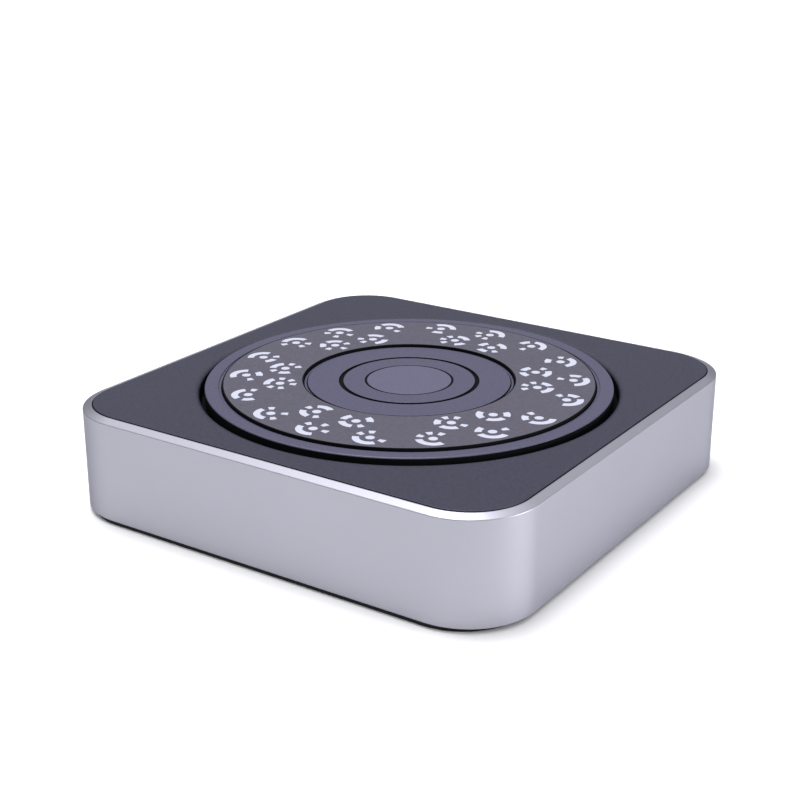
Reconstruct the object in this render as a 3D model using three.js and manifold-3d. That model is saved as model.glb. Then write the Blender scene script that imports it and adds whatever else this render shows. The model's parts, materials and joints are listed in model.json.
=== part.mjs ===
// Motorised turntable of a desktop 3-D scanner: a flat square housing whose round platter is
// turned by a stepper motor through a pinion and a large ring gear.
// Millimetres, +Z up. The origin is on the ground, under the middle of the housing.
// The port panel is on the +Y side; the platter turns about the Z axis.
import * as THREE from "three";
import { mergeVertices } from "three/addons/utils/BufferGeometryUtils.js";
import Module from "manifold-3d";

const wasm = await Module();
wasm.setup();

// ---------------------------------------------------------------- driving dimensions

const GAP = 0.3; // clearance kept between neighbouring pieces
const PAST = 1; // how far a cutting solid runs past the face that it cuts
const SUNK = 0.5; // how far a solid reaches into the one that it is joined to
const WELD = 1e-4; // vertices nearer than this are one vertex

const HOUSING = { width: 210, corner: 29, bottom: 2, top: 46, wall: 2.2, bevelWidth: 3.9, bevelDepth: 1.6, lowerEdge: 0.7 };
const LEDGE = { inset: 9, bottom: 41, top: 42.7 };
const COVER = { inset: 4.25, bottom: 43, opening: 89.5 };
const WELL = { wall: 1.8, bottom: 37.5, top: 39, inner: 82 };
const BASE = { inset: 2.6, bottom: 0.8, top: 2.8 };
const PLINTH = { sideInset: 3.4, frontInset: 0.9, corner: 27, bottom: 0.3, top: 1.7, innerInset: 8 };
const BOSS = { place: 88, radius: 4.5, depth: 11, relief: 0.5 };
const FOOT = { place: 78, radius: 8, height: 1.7 };
const VENT = { count: 4, length: 26, width: 2.4, pitch: 7, endRadius: 1.15 };

const PLATTER = { radius: 86.4, rimInner: 80.6, rimTop: 47.3, floor: 45.3, underside: 42.6 };
const SKIRT = { inner: 84, bottom: 40.8 };
const RIB = { count: 6, inner: 60, width: 2, bottom: 41.7 };
const MARKER = { outer: 79.05, inner: 44.85, bottom: 45.6, top: 48.1 };
const PAD = { radius: 43.1, bottom: 45.6, top: 47.3 };
const PAD_GROOVES = [
  { radius: 18.4, width: 0.6, depth: 0.5 },
  { radius: 28.9, width: 1.3, depth: 0.6 },
];

const HUB = { flange: 28, boss: 21, bottom: 33, flangeBottom: 40, top: 42.3, recess: 17.8, recessTop: 37.4 };
const HUB_SCREWS = { count: 3, circle: 24.5, platterAngle: 30, gearAngle: 90 };
const SPINDLE = { radius: 6, bottom: 3.6, top: 42, groove: 5, grooveBottom: 4.9, grooveTop: 6.7 };
const RETAINER = { outer: 8.5, bottom: 5.2, top: 6.4, opening: 3 };
const PEDESTAL = { flange: 26, bottom: 3.1, flangeTop: 7, barrel: 15, top: 27, cavity: 12, cavityTop: 7.5 };
const PEDESTAL_SCREWS = { count: 3, circle: 20.5, angle: 90 };
const BUSH = { outer: 8, length: 7.8, lowerTop: 15.8, upperBottom: 19.1 };
const SHOULDER = { bottom: 16, top: 19, inner: 6.9 }; // inside the pedestal, between the bushes
const THRUST = { inner: 7.2, outer: 17.5, thickness: 2.4, lower: 27.3, upper: 34.7 };
const BALLS = { count: 10, radius: 2.2, circle: 12.8, height: 32.2, around: 8, down: 5 };
const CAGE = { inner: 11, outer: 14.6, thickness: 1.6 };

const TOOTH = { module: 1.5, dedendum: 1.25, pressureAngle: THREE.MathUtils.degToRad(20), backlash: 0.5 };
const GEAR = { teeth: 72, bottom: 35.3, top: 40.3, webBottom: 36.8, webTop: 39.7, rimInner: 48, flankPoints: 2 };
const GEAR_WINDOWS = { count: 6, circle: 36, radius: 8 };
const PINION = { teeth: 16, bottom: 35, top: 40.6, flankPoints: 4 };
const CENTRE_DISTANCE = (TOOTH.module * (GEAR.teeth + PINION.teeth)) / 2;

const MOTOR = {
  along: -CENTRE_DISTANCE / Math.SQRT2, // the same along X and Y, so the motor sits on a diagonal
  width: 42.3,
  corner: 5,
  screwSpacing: 31,
  threadDepth: 5,
  rearBottom: 4,
  rearBore: 5.5,
  rearTop: 10,
  statorWidth: 41.3,
  statorCorner: 7,
  frontBottom: 22,
  frontTop: 30,
  pilotRadius: 11,
  pilotTop: 32,
  shaft: 2.5,
  shaftBottom: 6,
  shaftTop: 40.9,
  rotor: 12,
  rotorBottom: 11,
  rotorTop: 21,
  bore: 12.4,
};
const BRACKET = { plate: 2, width: 43, legWidth: 24, footLength: 10, legInner: 21.6, footTop: 5.1 };

const BOARD = { x0: -40, x1: 40, y0: 49, y1: 95, bottom: 8, top: 9.6, hole: 1.6 };
const BOARD_FIXINGS = { x: 36, yFront: 53, yRear: 91, post: 3.2, peg: 1.2, pegTop: 9.4, pilotBottom: 3.4 };
const PARTS_BOTTOM = BOARD.top + GAP;
const USB = { x: -24, width: 12, height: 11, back: 85.5, front: 101.9, mouthWidth: 8.5, mouthHeight: 7.8 };
const USB_TONGUE = { width: 5.6, height: 3.2, setBack: 4.8, mouthDepth: 12 };
const JACK = { x: 0, width: 9, height: 11, back: 87, front: 99.2, collar: 4.2, bore: 3.2, depth: 10, pin: 1, pinFront: 100.6 };
const CHIP = { x: -10, y: 72, width: 10, height: 1.4 };
const DRIVER = { x: 10, y: 62, width: 6, height: 1.1 };
const HEATSINK = { width: 9, base: 1.4, fins: 4, finWidth: 1.2, height: 6 };
const CAPACITOR = { x: 31, y: 64, radius: 4, height: 10.5 };
const HEADER = { x: -20, width: 11, y0: 53, y1: 59, height: 6.4, wall: 1 };
const MOTOR_LEAD = { radius: 1.8, steps: 24, sides: 8, plugLength: 10.7 };
const SWITCH_LEAD = { radius: 1.2, steps: 8, sides: 8 };

const PORTS = { halfWidth: 38, bottom: 8, top: 30 };
const PANEL = { halfWidth: 41, bottom: 5.5, top: 32.5, back: 99.8, face: 101.6, front: 102.5, clearance: 0.4 };
const CHANNEL = { inner: 39.6, outer: 43.4, back: 97.4, lipFront: 99.4, top: 33, slot: 41.4 };
const SWITCH = { x: 24, z: 19, halfWidth: 9.3, halfHeight: 6.2, back: 89, bezelBack: 101.9, bezelFront: 103.4 };
const BEZEL = { halfWidth: 10.5, halfHeight: 7.5, pocketHalfWidth: 8.1, pocketHalfHeight: 5, pocketBack: 95 };
const ROCKER = { pivot: 98.8, halfHeight: 4.7, tilt: THREE.MathUtils.degToRad(8), pin: 0.9, pinReach: 5.6 };
const PIVOT_HOLE = { radius: 1.2, reach: 5.8 };
// The rocker level about its pivot: its front is two faces that meet in a shallow V.
const ROCKER_OUTLINE = [[-7, 5], [-7, 2], [-3.5, -2.5], [3.5, -2.5], [7, 2], [7, 5], [0, 4]];

const CORNER_STEPS = 7; // facets round each corner of the housing
const SIDES = { large: 60, disc: 40, medium: 28, motor: 24, small: 16, pin: 10, screw: 8, key: 6 };

// Screws: head radius and height, shank radius, hexagon key size across corners.
const M3 = { head: 2.75, headHeight: 1.9, shank: 1.5, key: 1.3, keyDepth: 1 };
const M25 = { head: 2.3, headHeight: 1.6, shank: 1.25, key: 1.1, keyDepth: 0.9 };
const M3_FLAT = { head: 2.9, headHeight: 1.4, shank: 1.5, key: 1.2, keyDepth: 0.8, flat: true };
const HEAD_SUNK = 0.1; // how far a flat head lies below the face round it
const COUNTERSINK_RIM = 0.2; // straight part of a countersink, before its cone
const SCREW_LENGTH = { base: 9, platter: 3.7, gear: 5.2, pedestal: 6, motor: 6, bracket: 4, board: 5 };

// ---------------------------------------------------------------- materials

function finish(color, roughness, metalness) {
  return new THREE.MeshStandardMaterial({ color, roughness, metalness });
}

const SILVER = finish(0xb6b5bd, 0.42, 0.6);
const COVER_GREY = finish(0x55565c, 0.5, 0);
const PLATTER_GREY = finish(0x717379, 0.5, 0);
const PRINT_BROWN = finish(0x78716c, 0.6, 0);
const BLACK_STEEL = finish(0x17181a, 0.5, 0.4);
const RUBBER = finish(0x1c1c1d, 0.85, 0);
const BLACK_PLASTIC = finish(0x1b1c1f, 0.45, 0);
const STEEL = finish(0xa9abb0, 0.3, 0.9);
const ZINC_SCREW = finish(0x8e9094, 0.35, 0.9);
const BRONZE = finish(0xa87c43, 0.4, 0.8);
const BRASS = finish(0xc79a4b, 0.35, 0.8);
const ALUMINIUM = finish(0xc3c5c8, 0.4, 0.8);
const ACETAL = finish(0xe8e6df, 0.5, 0);
const BOARD_GREEN = finish(0x1f6a45, 0.5, 0);
const CHIP_BLACK = finish(0x202226, 0.55, 0);
const CABLE_BLACK = finish(0x232326, 0.6, 0);

// ---------------------------------------------------------------- solids

function signedVolume(positions, triangles) {
  let total = 0;
  const [a, b, c] = [new THREE.Vector3(), new THREE.Vector3(), new THREE.Vector3()];
  for (let i = 0; i < triangles.length; i += 3) {
    a.fromBufferAttribute(positions, triangles[i]);
    b.fromBufferAttribute(positions, triangles[i + 1]);
    c.fromBufferAttribute(positions, triangles[i + 2]);
    total += a.dot(b.cross(c)) / 6;
  }
  return total;
}

// A closed three.js geometry as a solid, with the collapsed triangles on a lathe's axis dropped.
function solidFrom(geometry) {
  const bare = geometry.clone();
  bare.deleteAttribute("normal");
  bare.deleteAttribute("uv");
  const merged = mergeVertices(bare, WELD);
  const index = merged.index.array;
  const kept = [];
  for (let i = 0; i < index.length; i += 3) {
    const [a, b, c] = [index[i], index[i + 1], index[i + 2]];
    if (a !== b && b !== c && c !== a) kept.push(a, b, c);
  }
  if (signedVolume(merged.attributes.position, kept) < 0) kept.reverse();
  const vertProperties = new Float32Array(merged.attributes.position.array);
  return new wasm.Manifold(new wasm.Mesh({ numProp: 3, vertProperties, triVerts: new Uint32Array(kept) }));
}

function geometryFrom(solid) {
  const mesh = solid.getMesh();
  const geometry = new THREE.BufferGeometry();
  geometry.setAttribute("position", new THREE.BufferAttribute(new Float32Array(mesh.vertProperties), 3));
  geometry.setIndex(new THREE.BufferAttribute(new Uint32Array(mesh.triVerts), 1));
  geometry.computeVertexNormals();
  return geometry;
}

function block(x0, x1, y0, y1, z0, z1) {
  const box = new THREE.BoxGeometry(x1 - x0, y1 - y0, z1 - z0);
  box.translate((x0 + x1) / 2, (y0 + y1) / 2, (z0 + z1) / 2);
  return solidFrom(box);
}

// A round bar along Z.
function rod(radius, z0, z1, sides = SIDES.small, x = 0, y = 0) {
  const bar = new THREE.CylinderGeometry(radius, radius, z1 - z0, sides);
  bar.rotateX(Math.PI / 2);
  bar.translate(x, y, (z0 + z1) / 2);
  return solidFrom(bar);
}

// A round bar along Y.
function crossRod(radius, y0, y1, x, z, sides = SIDES.small) {
  const bar = new THREE.CylinderGeometry(radius, radius, y1 - y0, sides);
  bar.translate(x, (y0 + y1) / 2, z);
  return solidFrom(bar);
}

// A turned piece: outline points are [radius, height].
function turned(outline, sides = SIDES.medium) {
  const points = outline.map(([r, z]) => new THREE.Vector2(r, z));
  if (outline[0][0] > 0) points.push(points[0].clone());
  const lathe = new THREE.LatheGeometry(points, sides);
  lathe.rotateX(Math.PI / 2);
  return solidFrom(lathe);
}

function tube(inner, outer, z0, z1, sides = SIDES.medium) {
  return turned([[inner, z0], [outer, z0], [outer, z1], [inner, z1]], sides);
}

function roundedRectangle(width, depth, radius) {
  const [w, d] = [width / 2, depth / 2];
  const shape = new THREE.Shape();
  shape.moveTo(-w + radius, -d);
  shape.absarc(w - radius, -d + radius, radius, -Math.PI / 2, 0, false);
  shape.absarc(w - radius, d - radius, radius, 0, Math.PI / 2, false);
  shape.absarc(-w + radius, d - radius, radius, Math.PI / 2, Math.PI, false);
  shape.absarc(-w + radius, -d + radius, radius, Math.PI, Math.PI * 1.5, false);
  return shape;
}

function slab(shape, z0, z1, curveSegments = CORNER_STEPS) {
  const plate = new THREE.ExtrudeGeometry(shape, { depth: z1 - z0, bevelEnabled: false, curveSegments });
  plate.translate(0, 0, z0);
  return solidFrom(plate);
}

// The housing's outline, moved in by inset, as a slab from z0 to z1.
function outlineSlab(inset, z0, z1) {
  const width = HOUSING.width - 2 * inset;
  return slab(roundedRectangle(width, width, HOUSING.corner - inset), z0, z1);
}

// The same slab with a sloped edge round both of its faces.
function bevelledSlab(z0, z1, bevelWidth, bevelDepth) {
  const shape = roundedRectangle(HOUSING.width, HOUSING.width, HOUSING.corner);
  const plate = new THREE.ExtrudeGeometry(shape, {
    depth: z1 - z0 - 2 * bevelDepth,
    bevelEnabled: true,
    bevelThickness: bevelDepth,
    bevelSize: bevelWidth,
    bevelOffset: -bevelWidth,
    bevelSegments: 1,
    curveSegments: CORNER_STEPS,
  });
  plate.translate(0, 0, z0 + bevelDepth);
  return solidFrom(plate);
}

function joined(solids) {
  return solids.reduce((whole, next) => whole.add(next));
}

function cut(solid, tools) {
  return tools.reduce((left, tool) => left.subtract(tool), solid);
}

function onCircle(count, radius, startDegrees) {
  return Array.from({ length: count }, (_, i) => {
    const angle = THREE.MathUtils.degToRad(startDegrees + (360 * i) / count);
    return [radius * Math.cos(angle), radius * Math.sin(angle)];
  });
}

function inCorners(distance) {
  return [
    { name: "front_left", x: -distance, y: -distance },
    { name: "front_right", x: distance, y: -distance },
    { name: "rear_right", x: distance, y: distance },
    { name: "rear_left", x: -distance, y: distance },
  ];
}

function holes(places, radius, z0, z1, sides = SIDES.screw) {
  return places.map(([x, y]) => rod(radius, z0, z1, sides, x, y));
}

// ---------------------------------------------------------------- scene graph

const group = new THREE.Group();

function add(name, solid, material, place = [0, 0, 0], parent = group) {
  const mesh = new THREE.Mesh(geometryFrom(solid), material);
  mesh.name = name;
  mesh.position.set(...place);
  parent.add(mesh);
  return mesh;
}

// A screw with its head's bearing face at z = 0, its head above and its shank below.
function screwSolid(size, length) {
  const shank = [[size.shank, -length], [0, -length]];
  const head = [[0, size.headHeight], [size.head, size.headHeight]];
  const neck = size.flat ? [[size.shank, 0]] : [[size.head, 0], [size.shank, 0]];
  const body = turned([...head, ...neck, ...shank], SIDES.screw);
  const key = rod(size.key, size.headHeight - size.keyDepth, size.headHeight + PAST, SIDES.key);
  return body.subtract(key);
}

function addScrew(name, size, length, x, y, z, upsideDown = false) {
  const screw = add(name, screwSolid(size, length), ZINC_SCREW, [x, y, z]);
  if (upsideDown) screw.rotation.x = Math.PI;
}

// ---------------------------------------------------------------- housing

function sideFrame() {
  const { bottom, top, bevelWidth, bevelDepth, lowerEdge } = HOUSING;
  const upper = bevelledSlab(bottom - 2 * bevelDepth, top, bevelWidth, bevelDepth);
  const lower = bevelledSlab(bottom, top + 2 * lowerEdge, lowerEdge, lowerEdge);
  const outside = upper.intersect(lower);
  const inside = outlineSlab(HOUSING.wall, HOUSING.bottom - PAST, LEDGE.bottom);
  const throat = outlineSlab(LEDGE.inset, LEDGE.bottom - PAST, HOUSING.top + PAST);
  const seat = outlineSlab(HOUSING.bevelWidth, LEDGE.top, HOUSING.top + PAST);
  const back = HOUSING.width / 2;
  const ports = block(-PORTS.halfWidth, PORTS.halfWidth, back - HOUSING.wall - PAST, back + PAST, PORTS.bottom, PORTS.top);
  const reliefs = inCorners(BOSS.place).map(({ x, y }) => {
    return rod(BOSS.radius + BOSS.relief, LEDGE.bottom - PAST, LEDGE.top + PAST, SIDES.small, x, y);
  });
  const wallFace = back - HOUSING.wall / 2;
  const channels = [-1, 1].flatMap((side) => {
    const [inner, slot, outer] = [CHANNEL.inner, CHANNEL.slot, CHANNEL.outer].map((x) => side * x);
    const span = (a, b) => [Math.min(a, b), Math.max(a, b)];
    return [
      block(...span(slot, outer), CHANNEL.back, wallFace, PANEL.bottom, CHANNEL.top),
      block(...span(inner, outer), CHANNEL.back, CHANNEL.lipFront, PANEL.bottom, CHANNEL.top),
    ];
  });
  return joined([cut(outside, [inside, throat, seat, ports, ...reliefs]), ...channels]);
}

function topCover() {
  const plate = outlineSlab(COVER.inset, COVER.bottom, HOUSING.top);
  const wellOuter = COVER.opening + WELL.wall;
  const well = rod(wellOuter, WELL.bottom, COVER.bottom + PAST, SIDES.large);
  const opening = rod(COVER.opening, WELL.top, HOUSING.top + PAST, SIDES.large);
  const throat = rod(WELL.inner, WELL.bottom - PAST, WELL.top + PAST, SIDES.large);
  const bossBottom = BASE.top + GAP;
  const bosses = inCorners(BOSS.place).map(({ x, y }) => {
    return rod(BOSS.radius, bossBottom, COVER.bottom + PAST, SIDES.small, x, y);
  });
  const pilots = inCorners(BOSS.place).map(({ x, y }) => {
    return rod(M3.shank + GAP, bossBottom - PAST, bossBottom + BOSS.depth, SIDES.screw, x, y);
  });
  return cut(joined([plate, well, ...bosses]), [opening, throat, ...pilots]);
}

function ventSlots(x, y) {
  return Array.from({ length: VENT.count }, (_, i) => {
    const middle = y + (i - (VENT.count - 1) / 2) * VENT.pitch;
    const slot = roundedRectangle(VENT.length, VENT.width, VENT.endRadius);
    return slab(slot, BASE.bottom - PAST, BASE.top + PAST, 1).translate([x, middle, 0]);
  });
}

function boardFixings() {
  return [
    { x: -BOARD_FIXINGS.x, y: BOARD_FIXINGS.yFront, screw: true },
    { x: BOARD_FIXINGS.x, y: BOARD_FIXINGS.yFront, screw: false },
    { x: BOARD_FIXINGS.x, y: BOARD_FIXINGS.yRear, screw: true },
    { x: -BOARD_FIXINGS.x, y: BOARD_FIXINGS.yRear, screw: false },
  ];
}

function bracketFeet() {
  const reach = BRACKET.legInner + BRACKET.plate + BRACKET.footLength / 2;
  return [[MOTOR.along - reach, MOTOR.along], [MOTOR.along + reach, MOTOR.along]];
}

// The countersink of a flat-headed screw whose head ends at z0. It narrows upwards (1) or downwards (-1).
function countersink(x, y, z0, direction) {
  const { head, shank, headHeight } = M3_FLAT;
  const at = (depth) => z0 + direction * depth;
  const outline = [
    [0, at(-PAST)],
    [head + GAP, at(-PAST)],
    [head + GAP, at(COUNTERSINK_RIM + GAP)],
    [shank + GAP, at(headHeight + GAP)],
    [0, at(headHeight + GAP)],
  ];
  return turned(outline, SIDES.screw).translate([x, y, 0]);
}

// The rim that closes the gap under the band. It stands nearer to the band's face at the front and rear.
function plinth() {
  const width = HOUSING.width - 2 * PLINTH.sideInset;
  const depth = HOUSING.width - 2 * PLINTH.frontInset;
  const rim = slab(roundedRectangle(width, depth, PLINTH.corner), PLINTH.bottom, PLINTH.top);
  return rim.subtract(outlineSlab(PLINTH.innerInset, PLINTH.bottom - PAST, BASE.bottom));
}

function basePlate() {
  const plate = outlineSlab(BASE.inset, BASE.bottom, BASE.top);
  const posts = boardFixings().map(({ x, y }) => {
    return rod(BOARD_FIXINGS.post, BASE.top - PAST, BOARD.bottom - GAP, SIDES.small, x, y);
  });
  const pegs = boardFixings().filter(({ screw }) => !screw).map(({ x, y }) => {
    return rod(BOARD_FIXINGS.peg, BASE.top, BOARD_FIXINGS.pegTop, SIDES.screw, x, y);
  });
  const boardHoles = boardFixings().filter(({ screw }) => screw).map(({ x, y }) => {
    return rod(M25.shank + GAP, BOARD_FIXINGS.pilotBottom, BOARD.bottom + PAST, SIDES.screw, x, y);
  });
  const pockets = inCorners(FOOT.place).map(({ x, y }) => {
    return rod(FOOT.radius + GAP, BASE.bottom - PAST, FOOT.height + GAP, SIDES.small, x, y);
  });
  const footScrews = inCorners(BOSS.place).flatMap(({ x, y }) => [
    rod(M3.shank + GAP, BASE.bottom - PAST, BASE.top + PAST, SIDES.screw, x, y),
    countersink(x, y, BASE.bottom + HEAD_SUNK, 1),
  ]);
  const pedestal = onCircle(PEDESTAL_SCREWS.count, PEDESTAL_SCREWS.circle, PEDESTAL_SCREWS.angle);
  const threaded = holes([...pedestal, ...bracketFeet()], M3.shank + GAP, BASE.bottom - PAST, BASE.top + PAST);
  const vents = [...ventSlots(MOTOR.along, MOTOR.along), ...ventSlots(0, (BOARD.y0 + BOARD.y1) / 2)];
  const tools = [...boardHoles, ...pockets, ...footScrews, ...threaded, ...vents];
  return cut(joined([plate, plinth(), ...posts, ...pegs]), tools);
}

function foot() {
  const edge = 0.4;
  const outline = [
    [0, 0],
    [FOOT.radius - edge, 0],
    [FOOT.radius, edge],
    [FOOT.radius, FOOT.height],
    [0, FOOT.height],
  ];
  return turned(outline, SIDES.small);
}

function addHousing() {
  add("side_frame", sideFrame(), SILVER);
  add("top_cover", topCover(), COVER_GREY);
  add("base_plate", basePlate(), BLACK_STEEL);
  for (const { name, x, y } of inCorners(FOOT.place)) {
    add(`foot_${name}`, foot(), RUBBER, [x, y, 0]);
  }
  const headTop = BASE.bottom + HEAD_SUNK;
  for (const { name, x, y } of inCorners(BOSS.place)) {
    addScrew(`base_screw_${name}`, M3_FLAT, SCREW_LENGTH.base, x, y, headTop + M3_FLAT.headHeight, true);
  }
}

// ---------------------------------------------------------------- platter

function platter() {
  const edge = 0.5;
  const outline = [
    [0, PLATTER.underside],
    [SKIRT.inner, PLATTER.underside],
    [SKIRT.inner, SKIRT.bottom],
    [PLATTER.radius, SKIRT.bottom],
    [PLATTER.radius, PLATTER.rimTop - edge],
    [PLATTER.radius - edge, PLATTER.rimTop],
    [PLATTER.rimInner, PLATTER.rimTop],
    [PLATTER.rimInner, PLATTER.floor],
    [0, PLATTER.floor],
  ];
  const ribs = Array.from({ length: RIB.count }, (_, i) => {
    const half = RIB.width / 2;
    const rib = block(RIB.inner, SKIRT.inner + SUNK, -half, half, RIB.bottom, PLATTER.underside + SUNK);
    return rib.rotate([0, 0, (360 * i) / RIB.count]);
  });
  const screwHoles = platterScrewPlaces().flatMap(([x, y]) => [
    rod(M3.shank + GAP, PLATTER.underside - PAST, PLATTER.floor, SIDES.screw, x, y),
    countersink(x, y, PLATTER.floor - HEAD_SUNK, -1),
  ]);
  return cut(joined([turned(outline, SIDES.large), ...ribs]), screwHoles);
}

function platterScrewPlaces() {
  return onCircle(HUB_SCREWS.count, HUB_SCREWS.circle, HUB_SCREWS.platterAngle);
}

function markerRing() {
  return tube(MARKER.inner, MARKER.outer, MARKER.bottom, MARKER.top, SIDES.large);
}

function centrePad() {
  const grooves = PAD_GROOVES.flatMap(({ radius, width, depth }) => [
    [radius - width / 2, PAD.top],
    [radius - width / 2, PAD.top - depth],
    [radius + width / 2, PAD.top - depth],
    [radius + width / 2, PAD.top],
  ]);
  const rim = [[PAD.radius, PAD.top], [PAD.radius, PAD.bottom], [0, PAD.bottom]];
  return turned([[0, PAD.top], ...grooves, ...rim], SIDES.disc);
}

function platterHub() {
  const bore = SPINDLE.radius + GAP;
  const outline = [
    [bore, HUB.recessTop],
    [HUB.recess, HUB.recessTop],
    [HUB.recess, HUB.bottom],
    [HUB.boss, HUB.bottom],
    [HUB.boss, HUB.flangeBottom],
    [HUB.flange, HUB.flangeBottom],
    [HUB.flange, HUB.top],
    [bore, HUB.top],
  ];
  const gearScrews = onCircle(HUB_SCREWS.count, HUB_SCREWS.circle, HUB_SCREWS.gearAngle);
  const places = [...platterScrewPlaces(), ...gearScrews];
  return cut(turned(outline), holes(places, M3.shank + GAP, HUB.flangeBottom - PAST, HUB.top + PAST));
}

function spindle() {
  const edge = 0.6;
  const outline = [
    [0, SPINDLE.bottom],
    [SPINDLE.radius - edge, SPINDLE.bottom],
    [SPINDLE.radius, SPINDLE.bottom + edge],
    [SPINDLE.radius, SPINDLE.grooveBottom],
    [SPINDLE.groove, SPINDLE.grooveBottom],
    [SPINDLE.groove, SPINDLE.grooveTop],
    [SPINDLE.radius, SPINDLE.grooveTop],
    [SPINDLE.radius, SPINDLE.top],
    [0, SPINDLE.top],
  ];
  return turned(outline, SIDES.small);
}

function retainingRing() {
  const ring = tube(SPINDLE.groove + GAP, RETAINER.outer, RETAINER.bottom, RETAINER.top, SIDES.small);
  const half = RETAINER.opening / 2;
  return ring.subtract(block(0, RETAINER.outer + PAST, -half, half, RETAINER.bottom - PAST, RETAINER.top + PAST));
}

function addPlatter() {
  add("platter", platter(), PLATTER_GREY);
  add("marker_ring", markerRing(), PRINT_BROWN);
  add("centre_pad", centrePad(), PLATTER_GREY);
  add("platter_hub", platterHub(), ALUMINIUM);
  add("spindle", spindle(), STEEL);
  add("spindle_retaining_ring", retainingRing(), STEEL);
  const headBottom = PLATTER.floor - HEAD_SUNK - M3_FLAT.headHeight;
  platterScrewPlaces().forEach(([x, y], i) => {
    addScrew(`platter_screw_${i + 1}`, M3_FLAT, SCREW_LENGTH.platter, x, y, headBottom);
  });
}

// ---------------------------------------------------------------- gears

function involute(angle) {
  return Math.tan(angle) - angle;
}

// The outline of a spur gear with a tooth centred on the +X axis.
function gearOutline(teeth, flankPoints) {
  const { module: m, pressureAngle, backlash } = TOOTH;
  const pitch = (m * teeth) / 2;
  const base = pitch * Math.cos(pressureAngle);
  const root = pitch - TOOTH.dedendum * m;
  const tip = pitch + m;
  const halfAtPitch = Math.PI / (2 * teeth) - backlash / (4 * pitch);
  const halfAngle = (radius) => {
    const angle = Math.acos(Math.min(1, base / radius));
    return halfAtPitch + involute(pressureAngle) - involute(angle);
  };
  const start = Math.max(base, root);
  const flank = Array.from({ length: flankPoints }, (_, i) => {
    const radius = start + ((tip - start) * i) / (flankPoints - 1);
    return [radius, halfAngle(radius)];
  });
  if (root < base) flank.unshift([root, halfAngle(base)]);
  const points = [];
  for (let tooth = 0; tooth < teeth; tooth += 1) {
    const middle = (2 * Math.PI * tooth) / teeth;
    for (const [radius, half] of flank) points.push([radius, middle - half]);
    for (const [radius, half] of [...flank].reverse()) points.push([radius, middle + half]);
  }
  return new THREE.Shape(points.map(([r, a]) => new THREE.Vector2(r * Math.cos(a), r * Math.sin(a))));
}

function driveGear() {
  const blank = slab(gearOutline(GEAR.teeth, GEAR.flankPoints), GEAR.bottom, GEAR.top);
  const windows = onCircle(GEAR_WINDOWS.count, GEAR_WINDOWS.circle, 0);
  const screws = onCircle(HUB_SCREWS.count, HUB_SCREWS.circle, HUB_SCREWS.gearAngle);
  return cut(blank, [
    rod(HUB.boss + GAP, GEAR.bottom - PAST, GEAR.top + PAST, SIDES.medium),
    rod(GEAR.rimInner, GEAR.bottom - PAST, GEAR.webBottom, SIDES.medium),
    rod(GEAR.rimInner, GEAR.webTop, GEAR.top + PAST, SIDES.medium),
    ...holes(windows, GEAR_WINDOWS.radius, GEAR.bottom - PAST, GEAR.top + PAST),
    ...holes(screws, M3.shank + GAP, GEAR.bottom - PAST, GEAR.top + PAST),
  ]);
}

function motorPinion() {
  const blank = slab(gearOutline(PINION.teeth, PINION.flankPoints), PINION.bottom, PINION.top);
  const bore = rod(MOTOR.shaft + GAP, PINION.bottom - PAST, PINION.top + PAST, SIDES.small);
  return blank.subtract(bore);
}

function addGears() {
  add("drive_gear", driveGear(), ACETAL);
  const screws = onCircle(HUB_SCREWS.count, HUB_SCREWS.circle, HUB_SCREWS.gearAngle);
  screws.forEach(([x, y], i) => {
    addScrew(`gear_screw_${i + 1}`, M3, SCREW_LENGTH.gear, x, y, GEAR.webBottom - GAP, true);
  });
  const pinion = add("motor_pinion", motorPinion(), BRASS, [MOTOR.along, MOTOR.along, 0]);
  pinion.rotation.z = Math.PI / PINION.teeth; // a tooth space faces the tooth of the drive gear
}

// ---------------------------------------------------------------- platter bearing

function bearingPedestal() {
  const bore = BUSH.outer + GAP;
  const outline = [
    [PEDESTAL.cavity, PEDESTAL.bottom],
    [PEDESTAL.flange, PEDESTAL.bottom],
    [PEDESTAL.flange, PEDESTAL.flangeTop],
    [PEDESTAL.barrel, PEDESTAL.flangeTop],
    [PEDESTAL.barrel, PEDESTAL.top],
    [bore, PEDESTAL.top],
    [bore, SHOULDER.top],
    [SHOULDER.inner, SHOULDER.top],
    [SHOULDER.inner, SHOULDER.bottom],
    [bore, SHOULDER.bottom],
    [bore, PEDESTAL.cavityTop],
    [PEDESTAL.cavity, PEDESTAL.cavityTop],
  ];
  const places = onCircle(PEDESTAL_SCREWS.count, PEDESTAL_SCREWS.circle, PEDESTAL_SCREWS.angle);
  return cut(turned(outline), holes(places, M3.shank + GAP, PEDESTAL.bottom - PAST, PEDESTAL.flangeTop + PAST));
}

function ballCage() {
  const half = CAGE.thickness / 2;
  const ring = tube(CAGE.inner, CAGE.outer, BALLS.height - half, BALLS.height + half, SIDES.medium);
  const balls = onCircle(BALLS.count, BALLS.circle, 0).map(([x, y]) => {
    const ball = new THREE.SphereGeometry(BALLS.radius, BALLS.around, BALLS.down);
    ball.rotateX(Math.PI / 2);
    ball.translate(x, y, BALLS.height);
    return solidFrom(ball);
  });
  return joined([ring, ...balls]);
}

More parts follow.
